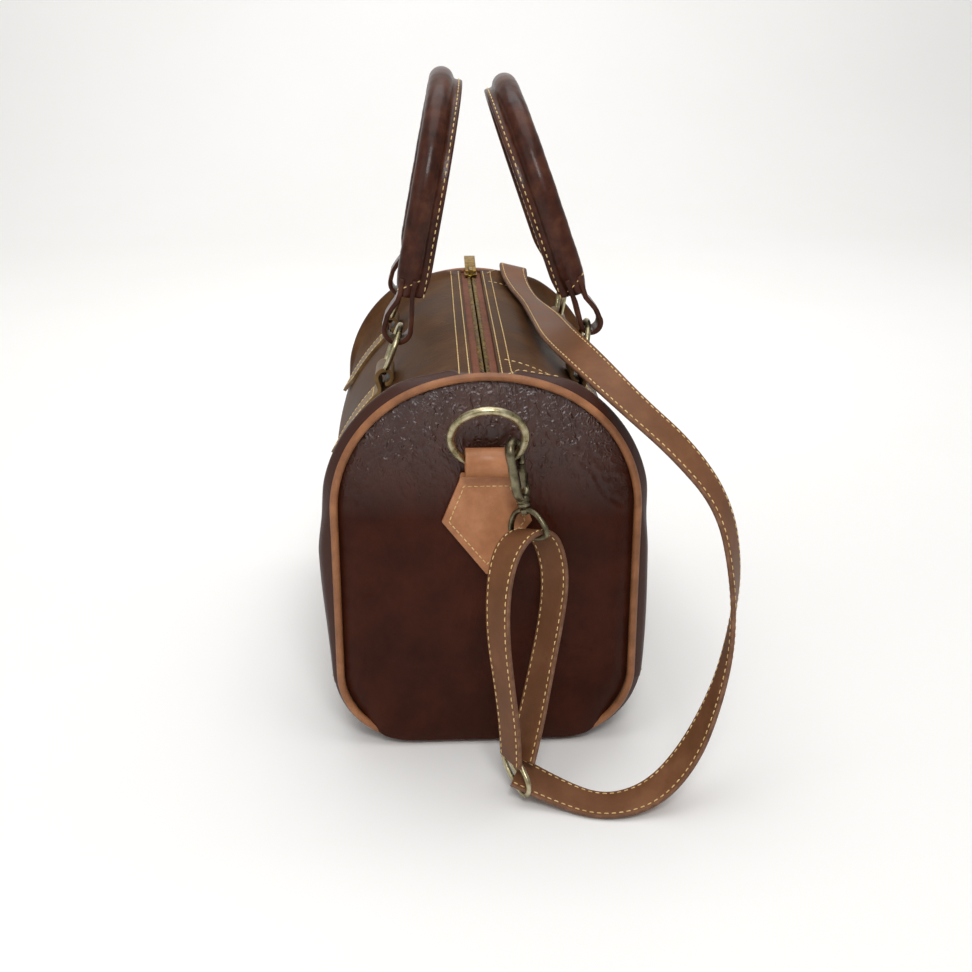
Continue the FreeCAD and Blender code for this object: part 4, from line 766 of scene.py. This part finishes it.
chapeY, chapeZ = (abs(c) for c in joints["rear_ring_swing"]["pos_m"][1:])
chapeTurn = math.atan2(chapeZ - body["shoulderZ"], chapeY - body["shoulderY"])
chape = dict(tip=shoulderRun(0.155), wide=shoulderRun(0.167), loop=body["runs"][2] + body["shoulder"] * chapeTurn,
             shift=0.0, long=0.0043, height=0.0056, radius=0.0043, thick=0.0022, wideHalf=0.013, neckHalf=0.0128,
             loopHalf=0.0125, inset=0.0026, top=0.0026, flare=0.0, x=0.066, sunk=0.0002, curl=0.0020,
             curlFrom=0.006, curlFade=-0.018, neckBack=0.010)
chape["neck"] = chape["loop"] - chape["neckBack"]
for side, sign in bothSides:
    for end, way in bothEnds:
        def placeChape(run, out, across):
            curl = chape["curl"] * ramp(run, chape["wide"] + chape["curlFrom"], chape["curlFade"]) ** 2
            return skin(way * chape["x"] + across, sign * run, out + curl - chape["sunk"])

        chapePiece = loopedTab(f"{side}_{end}_chape_leather", chape, placeChape, chapeBrown)
        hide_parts(f"{side}_{end}_chape")
print("stage: tabs and chapes made")

# Handles: leather rolled round a cord and sewn into a flange on the inner side, with a loop at each end.
# Ripples have a height and radians per station; loopLegs a share of the loop's radius and a height.
handle = dict(leg=0.066, rise=0.138, low=0.018, radius=0.0075, slit=16, flange=0.0052, flangeHalf=0.0019,
              root=0.0008, rootShare=0.85, rimLow=0.0018, rimHigh=0.0006, rimShare=0.7, tight=0.66, loosen=0.34,
              taper=0.016,
              ripples=((0.00010, 2.3), (0.00008, 0.71)), rowIn=0.0024, pitch=4.2 * mm, loopOut=0.0016,
              outward=(0.0175, -0.0115), loopThick=0.0028, loopHalf=0.0078, loopTop=0.029, loopTurn=(165, 375),
              loopLegs=((0.92, 0.0060), (0.74, 0.0110), (0.56, 0.0155)), pinch=0.0036, pinchStart=0.0200,
              closeTurn=75, closeUp=0.0075, closeDip=0.004, closeOut=1.01)
# Each handle's lean in degrees, and the radius and middle of its loops
handleSets = {"front": (11.0, 0.0078, -0.0010), "rear": (19.5, 0.0059, 0.0003)}


# The roll is flatter towards its two ends
def squeezed(level):
    return handle["tight"] + handle["loosen"] * np.sin(ramp(level, handle["low"], handle["taper"]) * pi / 2)


for side, sign in bothSides:
    lean, loopRadius, loopMiddle = handleSets[side]
    leg, radius, half = handle["leg"], handle["radius"], handle["flangeHalf"]
    foot = Vector(joints[f"{side}_handle_swing"]["pos_m"])
    foot.x = 0
    turned = np.array(Matrix.Rotation(math.radians(sign * lean), 3, "X")).T

    def stand(points):
        return points @ turned + np.array(foot)

    bend = handle["rise"] - leg
    up = np.linspace(handle["low"], bend, 26)
    arch = np.linspace(0, pi, 74)[1:-1]
    line = np.concatenate([stacked(0 * up + leg, 0 * up, up),
                           stacked(leg * np.cos(arch), 0 * arch, bend + leg * np.sin(arch)),
                           stacked(0 * up - leg, 0 * up, up[::-1])])
    outward = np.concatenate([repeated([1.0, 0, 0], len(up)), stacked(np.cos(arch), 0 * arch, np.sin(arch)),
                              repeated([-1.0, 0, 0], len(up))])
    inward = repeated([0.0, -sign, 0.0], len(line))
    angles = np.radians(np.linspace(handle["slit"], 360 - handle["slit"], 24))
    tube = stacked(radius * np.sin(angles), radius * np.cos(angles))
    edge = radius + handle["flange"]
    halfLip = [(handle["rootShare"] * half, radius + handle["root"]), (half, edge - handle["rimLow"]),
               (half, edge - handle["rimHigh"]), (handle["rimShare"] * half, edge)]
    lip = np.array([(-a, b) for a, b in halfLip] + halfLip[::-1])
    section = np.tile(np.concatenate([tube, lip]), (len(line), 1, 1))
    squeeze = squeezed(line[:, 2])
    tubeCount = len(tube)
    section[:, :tubeCount, 1] *= squeeze[:, None]
    section[:, tubeCount:, 1] -= (radius * (1 - squeeze))[:, None]
    ripple = sum(tall * np.sin(np.arange(len(line)) * turn) for tall, turn in handle["ripples"])
    section[:, :tubeCount] *= (1 + ripple / radius)[:, None, None]
    grip = sweep(f"{side}_handle_leather", stand(line), outward @ turned, inward @ turned, section)
    applyModifier(grip, "SUBSURF", levels=1)
    smooth(dress(grip, handleBrown), 60)
    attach(grip, f"{side}_handle")
    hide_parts(f"{side}_handle_cover")
    rows = []
    for face in (1, -1):
        row = line + outward * face * (half + bag["thread"]) + inward * (edge - handle["rowIn"])
        rows.append((stand(row), (outward * face) @ turned))
    for end, way in bothEnds:
        around = np.radians(np.linspace(*handle["loopTurn"], 24))
        drop = stacked(loopRadius * np.cos(around), loopMiddle + loopRadius * np.sin(around))
        legs = np.array([(share * loopRadius, level) for share, level in handle["loopLegs"]]
                        + [(handle["pinch"], handle["pinchStart"]), (handle["pinch"], handle["loopTop"])])
        path = np.concatenate([(legs * [-1, 1])[::-1], drop, legs])
        path[:, 0] += sign * handle["loopOut"] * eased(path[:, 1], *handle["outward"])
        columns = len(path) - 1

        def place(u, v):
            i = station(u, columns)
            return stand(stacked(way * leg + (2 * v - 1) * handle["loopHalf"], path[i, 0], path[i, 1]))

        turns = np.radians(np.linspace(-handle["closeTurn"], handle["closeTurn"], 16))
        level = handle["low"] + handle["closeUp"] + handle["closeDip"] * np.sin(turns)
        closing = stacked(way * (leg + handle["closeOut"] * radius * np.cos(turns)),
                          radius * squeezed(level) * np.sin(turns), level)
        facing = stacked(way * np.cos(turns), np.sin(turns), 0 * turns)
        rows.append((stand(closing), facing @ turned))

        band = shapedGrid(f"{side}_{end}_loop_leather", columns, 8, place)
        thicken(band, handle["loopThick"], 0)
        bevel(band, bag["softEdge"], 2, 45)
        smooth(dress(band, handleBrown), 50)
        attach(band, f"{side}_handle")
        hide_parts(f"{side}_{end}_handle_loop")
    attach(stitching(f"{side}_handle_stitches", rows, handle["pitch"]), f"{side}_handle")
print("stage: handles made")

# Zip: tapes under the mouth edges and two rows of teeth over the whole length.
# A tooth's outline goes round it in shares of its length and rise, and its head is wider than its root.
zipper = dict(inner=0.0014, outer=0.0138, half=0.1425, thick=0.0008, depth=-0.0027, pitch=0.003, low=-0.1235,
              high=0.1365, toothHalf=0.00075, head=1.15, root=0.8, headShare=0.5, toothIn=0.00045, toothOut=0.0029,
              toothRise=0.0013, middle=0.2239,
              outline=((0, -0.6), (0.22, -1), (0.75, -0.8), (1, -0.45), (1, 0.45), (0.75, 0.8), (0.22, 1), (0, 0.6)))
for name, side, replaced in (("front_tape_cloth", -1, ["front_zip_tape"]),
                             ("rear_tape_cloth", 1, ["rear_zip_tape", "near_zip_end", "far_zip_end"])):
    tape = shapedGrid(name, 110, 8, lambda u, v: skin(
        (2 * u - 1) * zipper["half"],
        crownRun(side * (zipper["inner"] + v * (zipper["outer"] - zipper["inner"]))), zipper["depth"]))
    thicken(tape, zipper["thick"], 0)
    smooth(dress(tape, zipTape), 50)
    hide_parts(*replaced)
    if side < 0:
        foldWithMouth(tape)
    else:
        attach(tape, "bag")

    points, faces = [], []
    count = len(zipper["outline"])
    firsts = np.arange(zipper["low"] + (0 if side < 0 else zipper["pitch"] / 2), zipper["high"], zipper["pitch"])
    for x in firsts:
        start = len(points)
        for step in (-1, 1):
            for a, b in zipper["outline"]:
                y = side * (zipper["toothIn"] + a * (zipper["toothOut"] - zipper["toothIn"]))
                wide = zipper["toothHalf"] * (zipper["head"] if a < zipper["headShare"] else zipper["root"])
                points.append((x + step * wide, y, zipper["middle"] + b * zipper["toothRise"]))
        for j in range(count):
            k = (j + 1) % count
            faces.append((start + j, start + k, start + count + k, start + count + j))
        faces += [tuple(start + j for j in range(count)), tuple(start + count + j for j in reversed(range(count)))]
    teeth = meshPiece(name.replace("tape_cloth", "teeth_brass"), points, faces)
    editMesh(teeth, alignFaces)
    smooth(dress(teeth, zipBrass), 30)
    if side < 0:
        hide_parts("front_zip_teeth")
        foldWithMouth(teeth)
    else:
        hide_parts("rear_zip_teeth")
        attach(teeth, "bag")


# A CAD metal piece with its edges rounded
def rounded(node, width, material, body):
    piece = linked(node + "_rounded", bpy.data.objects[node].data.copy())
    editMesh(piece, joinPoints)
    bevel(piece, width, 3, 35)
    smooth(dress(piece, material), 40)
    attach(piece, body)
    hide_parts(node)


rounded("zip_slider", 0.0003, zipBrass, "slider")
rounded("zip_pull", 0.0005, zipBrass, "pull")
for end, sign in bothEnds:
    rounded(f"{end}_zip_stop", 0.0003, zipBrass, "bag")
    rounded(f"{end}_gate", 0.0004, darkBrass, f"{end}_gate")
print("stage: zip made")

# Seams of the body: two rows along the mouth, one above the base, and two across each end of the rear top
seams = dict(half=0.1405, mouthInsets=(0.0017, 0.0068), aboveBase=0.003, crossX=(-0.1372, -0.1070, 0.1070, 0.1372),
             crossOuter=0.038, crossInner=0.011, mouthPitch=3.6 * mm, bodyPitch=3.8 * mm)
span = np.linspace(-seams["half"], seams["half"], 120)
foldRows, stillRows = [], []
for side, rows in ((-1, foldRows), (1, stillRows)):
    for inset in seams["mouthInsets"]:
        rows.append(seamRow(span, 0 * span + side * (mouthRun - inset)))
    stillRows.append(seamRow(span, 0 * span + side * (seamRun + seams["aboveBase"])))
for x in seams["crossX"]:
    d = np.linspace(float(crownRun(seams["crossOuter"])), float(crownRun(seams["crossInner"])), 40)
    stillRows.append(seamRow(0 * d + x, d))
mouthStitches = stitching("front_mouth_stitches", foldRows, seams["mouthPitch"])
foldWithMouth(mouthStitches)
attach(stitching("body_stitches", stillRows, seams["bodyPitch"]), "bag")
print("stage: body seams made")

# Hooks: a claw bent round the ring, a turned collar, and an eye on a post that swivels in it.
# Collar and post are heights with their radii, the eye is the outline of its wire, and tipWay leads in to the tip.
hook = dict(slot=0.00425, bar=0.002, top=0.00175, bottom=-0.01775, depth=0.0025, start=0.05, bowl=0.10,
            bowled=(0, 0.006), tipWay=((0.0, -0.002), (0.0002, -0.0045), (0.0004, -0.0062)),
            firstGirth=(0.72, 0.85, 0.94, 1.0), lastGirth=(1.0, 0.96, 0.88, 0.6),
            collar=((-0.0222, 0.0026), (-0.0230, 0.0036), (-0.0236, 0.0038), (-0.0254, 0.0038), (-0.0259, 0.0032),
                    (-0.0263, 0.0032), (-0.0268, 0.0038), (-0.0278, 0.0038), (-0.0286, 0.0034), (-0.0292, 0.0026)),
            post=((-0.0330, 0.0021), (-0.0320, 0.0027), (-0.0302, 0.0027), (-0.0294, 0.0017), (-0.0240, 0.0017)),
            eye=((-0.01225, -0.0468), (0.01225, -0.0468), (0.01225, -0.0395), (0.0060, -0.0305), (-0.0060, -0.0305),
                 (-0.01225, -0.0395)), eyeWire=0.00165, eyeTurn=49)
for end, sign in bothEnds:
    up = np.array(Vector(joints[f"{end}_swivel"]["axis"]).normalized())
    normal = -np.array(Vector(joints[f"{end}_gate_press"]["axis"]).normalized())
    aside = np.cross(normal, up)
    origin = np.array(joints[f"{end}_hook_hang"]["pos_m"])

    # Points of the hook's plane, or of the eye's, from their places across and up
    def inPlane(places, across):
        return origin + places[:, :1] * across + places[:, 1:] * up

    # A turned piece on the hook's axis, with as many sides as given
    def turnedPiece(name, profile, across, out, sides):
        profile = np.array(profile)
        return sweep(name, origin + profile[:, :1] * up, repeated(across, len(profile)),
                     repeated(out, len(profile)), np.stack([roundSection(r, sides) for r in profile[:, 1]]))

    radius = hook["slot"] + hook["bar"]
    low = np.linspace(hook["start"], -pi, 20)
    high = np.linspace(pi, 0, 20)
    flatPath = np.concatenate([
        stacked(radius * np.cos(low), hook["bottom"] + radius * np.sin(low)),
        stacked(radius * np.cos(high), hook["top"] + radius * np.sin(high)),
        [(radius - back, level) for back, level in hook["tipWay"]]])
    girth = np.ones(len(flatPath))
    girth[:4] = hook["firstGirth"]
    girth[-4:] = hook["lastGirth"]
    girth *= 1 + hook["bowl"] * ramp(flatPath[:, 1], *hook["bowled"])
    section = roundSection(hook["bar"], 16, hook["depth"]) * girth[:, None, None]
    claw = bentWire(f"{end}_claw_brass", inPlane(flatPath, aside), normal, section)
    smooth(dress(claw, darkBrass), 60)
    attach(claw, f"{end}_hook")

    collar = turnedPiece(f"{end}_collar_brass", hook["collar"], aside, normal, 20)
    smooth(dress(collar, darkBrass), 40)
    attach(collar, f"{end}_hook")
    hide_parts(f"{end}_hook")

    eyeTurn = math.radians(hook["eyeTurn"])
    across = np.array([sign * math.cos(eyeTurn), math.sin(eyeTurn), 0])
    across = unit(across - up * across.dot(up))
    out = np.cross(up, across)
    eye = bentWire(f"{end}_eye_brass", inPlane(softened(hook["eye"]), across), out,
                   roundSection(hook["eyeWire"], 14), ring=True)
    neck = turnedPiece(f"{end}_eye_post", hook["post"], across, out, 16)
    for piece in (eye, neck):
        smooth(dress(piece, darkBrass), 50)
        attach(piece, f"{end}_eye")
    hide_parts(f"{end}_swivel_eye")
print("stage: hooks made")

# Shoulder strap: its profile gives, from the middle to the edge, shares of half its width and half its depth
strap = dict(width=0.020, depth=0.0028, toEdge=0.01, rowAside=0.0079, rowOut=0.00125, pitch=4.0 * mm, cutEdge=0.0091,
             profile=((0.0, 1.04), (0.55, 1.0), (0.72, 0.97), (0.79, 0.80), (0.86, 0.92), (0.94, 0.84), (0.985, 0.5),
                      (1.0, 0.0)))
# Route points in mm, each with the way to the strap's near edge
routeScale = [mm, mm, mm, 1, 1, 1]
mainRoute = np.array([
    (204, 14, 17, 0.72, 0.42, -0.55), (209, 36, 6, 0.92, -0.35, -0.17), (220, 61, 2.4, 0.98, -0.15, -0.12),
    (217, 88, 8, 0.96, 0.23, -0.15), (213, 108, 31, 0.95, 0.29, -0.07), (211, 121, 66, 0.99, 0.04, 0.09),
    (206, 128, 98, 0.98, -0.09, 0.2), (198, 130, 132, 0.86, -0.46, 0.21), (187, 124, 166, 0.81, -0.57, 0.13),
    (170, 104, 191, 0.68, -0.72, -0.14), (147, 77, 211.5, 0.57, -0.81, -0.13), (111, 57, 226, 0.3, -0.9, -0.3),
    (82, 48.6, 229.2, 0.18, -0.92, -0.34), (58, 44.8, 229.9, 0.11, -0.94, -0.31),
    (10, 44.3, 225.2, 0.09, -0.98, -0.12), (-46, 41.5, 221.4, 0.12, -0.96, 0.24),
    (-73, 35.9, 222.2, 0.14, -0.92, 0.36), (-104, 32, 224.6, 0.05, -0.94, 0.33), (-124, 31, 227.2, 0, -0.95, 0.3),
    (-139, 31, 229.2, 0, -0.957, 0.285), (-153, 33, 226.8, 0, -0.98, 0.2), (-173, 35.5, 206, 0, -1, 0.05),
    (-190, 36, 166, 0, -1, 0), (-197, 34, 121, 0, -1, 0), (-197, 30, 90, 0.1, -0.99, 0),
    (-191, 26, 71, 0.2, -0.97, 0), (-181, 22, 69, 0.32, -0.94, 0), (-175, 19, 86, 0.45, -0.88, 0),
    (-171.5, 18.5, 108, 0.55, -0.83, -0.1), (-169.7, 22.8, 126.5, 0.62, -0.76, -0.18),
    (-167.6, 19.8, 143.9, 0.646, -0.735, -0.206), (-161.9, 24.7, 143.9, 0.646, -0.735, -0.206),
    (-164.2, 28.1, 124.5, 0.646, -0.735, -0.206), (-168.8, 21, 108, 0.6, -0.79, -0.1),
]) * routeScale
loopRoute = np.array([
    (204, 11, 24, 0.72, 0.42, -0.55), (205, 10.5, 42, 0.86, 0.51, 0.06), (203, 7.5, 67, 0.86, 0.48, 0.16),
    (199, 4, 95, 0.82, 0.53, 0.22), (192, 4, 117, 0.78, 0.56, 0.27), (183.5, 7, 133, 0.7, 0.66, 0.25),
    (174.6, 12.9, 142.2, 0.65, 0.735, 0.19), (164.6, 22, 144.6, 0.646, 0.735, 0.206),
    (159.2, 31.2, 139.7, 0.646, 0.735, 0.206), (160.3, 36.5, 125, 0.67, 0.7, 0.24),
    (163.5, 37.5, 109, 0.74, 0.65, 0.14), (170, 34, 86, 0.79, 0.58, 0.2), (182, 28, 63, 0.74, 0.62, 0.25),
    (195, 22, 41, 0.72, 0.67, 0.2), (203, 17, 24, 0.75, 0.64, 0.16),
]) * routeScale


# Points of a smooth curve that has those control points
def curvePoints(controls):
    curve = bpy.data.curves.new("route", "CURVE")
    curve.dimensions = "3D"
    spline = curve.splines.new("NURBS")
    spline.points.add(len(controls) - 1)
    for point, place in zip(spline.points, controls):
        point.co = (*place, 1.0)
    spline.order_u = 3
    spline.use_endpoint_u = True
    spline.resolution_u = 10
    holder = bpy.data.objects.new("route", curve)
    mesh = bpy.data.meshes.new_from_object(holder)
    points = np.array([v.co for v in mesh.vertices])
    bpy.data.objects.remove(holder)
    bpy.data.curves.remove(curve)
    bpy.data.meshes.remove(mesh)
    return points


quarter = np.array(strap["profile"]) * [strap["width"] / 2, strap["depth"] / 2]
top = np.concatenate([(quarter * [-1, 1])[::-1], quarter[1:]])
strapSection = np.concatenate([top, (top * [1, -1])[::-1][1:-1]])
for node, route in (("strap_main", mainRoute), ("strap_loop", loopRoute)):
    middle = curvePoints(route[:, :3])
    edge = curvePoints(route[:, :3] + strap["toEdge"] * route[:, 3:])
    heading = tangents(middle)
    across = edge - middle
    across = unit(across - heading * np.sum(across * heading, axis=1, keepdims=True))
    out = np.cross(heading, across)
    ribbon = sweep(f"{node}_leather", middle, across, out, strapSection)
    dress(ribbon, strapTan, strapEdge)
    smooth(ribbon, 50)
    rows = [(middle + across * side * strap["rowAside"] + out * face * strap["rowOut"], out * face)
            for face in (1, -1) for side in (1, -1)]
    sewing = stitching(f"{node}_stitches", rows, strap["pitch"])
    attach(ribbon, "bag")
    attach(sewing, "bag")
    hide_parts(node)
    for face in ribbon.data.polygons:
        i = np.argmin(np.linalg.norm(middle - np.array(face.center), axis=1))
        if abs(float((np.array(face.center) - middle[i]) @ across[i])) > strap["cutEdge"]:
            face.material_index = 1
print("stage: strap made")

# Slide adjuster: bent wire round the bar that keeps its CAD shape
slideHalf = dict(across=0.014, up=0.008, wire=0.0015)
slideWire = roundSection(slideHalf["wire"], 14)
slideWay = unit(mainRoute[0, 3:])
slideHead = loopRoute[1, :3] - loopRoute[0, :3]
slideUp = unit(slideHead - slideWay * slideHead.dot(slideWay))
flatLine = softened([(a * slideHalf["across"], b * slideHalf["up"]) for a, b in ((-1, -1), (1, -1), (1, 1), (-1, 1))])
line = mainRoute[0, :3] + flatLine[:, :1] * slideWay + flatLine[:, 1:] * slideUp
slide = bentWire("adjuster_wire_brass", line, np.cross(slideUp, slideWay), slideWire, ring=True)
smooth(dress(slide, paleBrass), 60)
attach(slide, "bag")
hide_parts("adjuster_slide")

# Pieces that keep their CAD shape, in their own materials
kept = [(paleBrass, ["near_end_ring", "far_end_ring", "adjuster_bar", "front_near_ring", "front_far_ring",
                     "rear_near_ring", "rear_far_ring"]),
        (darkBrass, ["near_gate_pin", "far_gate_pin"]), (springSteel, ["near_gate_spring", "far_gate_spring"]),
        (liningCloth, ["body_lining", "near_end_lining", "far_end_lining"]),
        (fibre, ["base_board"]), (cotton, ["front_handle_core", "rear_handle_core"])]
for material, names in kept:
    for name in names:
        smooth(dress(bpy.data.objects[name], material), 35)

# Pale paper that runs up behind the bag, soft light and the camera of the photograph
paper = dict(front=3.0, flat=1.0, bend=-1.5, radius=1.0, top=3.0, half=3.5)
bow = np.linspace(-pi / 2, -pi, 24)
paperLine = np.concatenate([
    [(paper["front"], 0.0)], np.linspace((paper["flat"], 0.0), (paper["bend"], 0.0), 6),
    stacked(paper["bend"] + paper["radius"] * np.cos(bow), paper["radius"] + paper["radius"] * np.sin(bow))[1:],
    [(paper["bend"] - paper["radius"], paper["top"])]])
steps = len(paperLine) - 1


def placePaper(u, v):
    x, z = paperLine[station(u, steps)].T
    return stacked(x, (2 * v - 1) * paper["half"], z)


floor = shapedGrid("studio_paper", steps, 4, placePaper)
smooth(floor, 60)
material, tree, place = startMaterial("studio_paper")
shade = mottled(tree, place, dict(shades="f3f2f0 f5f4f2 f7f6f5", patch=900))[0]
endMaterial(tree, {"Base Color": shade, "Roughness": 0.9})
dress(floor, material)
# Each lamp's place, width, power and aim
lamps = [("top_light", (0.15, 0.0, 1.45), 1.2, 8.6, (0.0, 0.0, 0.0)),
         ("key_light", (1.12, 0.05, 1.02), 0.35, 6.6, (0.10, 0.0, 0.16)),
         ("fill_light", (0.95, -1.0, 0.8), 1.0, 2.4, (0.05, 0.0, 0.14)),
         ("paper_light", (-0.9, 0.0, 1.9), 1.8, 26.0, (-2.2, 0.0, 0.7))]
for name, spot, wide, power, aim in lamps:
    bpy.ops.object.light_add(type="AREA", location=spot)
    lamp = bpy.context.object
    lamp.name = name
    lamp.data.energy = power
    lamp.data.size = wide
    lamp.rotation_euler = (Vector(aim) - Vector(spot)).to_track_quat("-Z", "Y").to_euler()
world = bpy.data.worlds.new("studio_world")
bpy.context.scene.world = world
world.use_nodes = True
sky = world.node_tree.nodes["Background"].inputs
sky["Color"].default_value = (1, 1, 1, 1)
sky["Strength"].default_value = 0.35
bpy.context.scene.view_settings.view_transform = "Standard"
photo = dict(place=(0.8187, -0.0285, 0.4172), yaw=-2.40, pitch=20.55, lens=48.15, sensor=36, shift=-0.002)
yaw, pitch = math.radians(photo["yaw"]), math.radians(photo["pitch"])
camera = linked("photo_camera", bpy.data.cameras.new("photo_camera"))
camera.data.lens = photo["lens"]
camera.data.sensor_width = photo["sensor"]
camera.data.shift_y = photo["shift"]
camera.location = photo["place"]
forward = Vector((-math.cos(pitch) * math.cos(yaw), -math.cos(pitch) * math.sin(yaw), -math.sin(pitch)))
camera.rotation_euler = forward.to_track_quat("-Z", "Y").to_euler()
bpy.context.scene.camera = camera
print("stage: studio made")
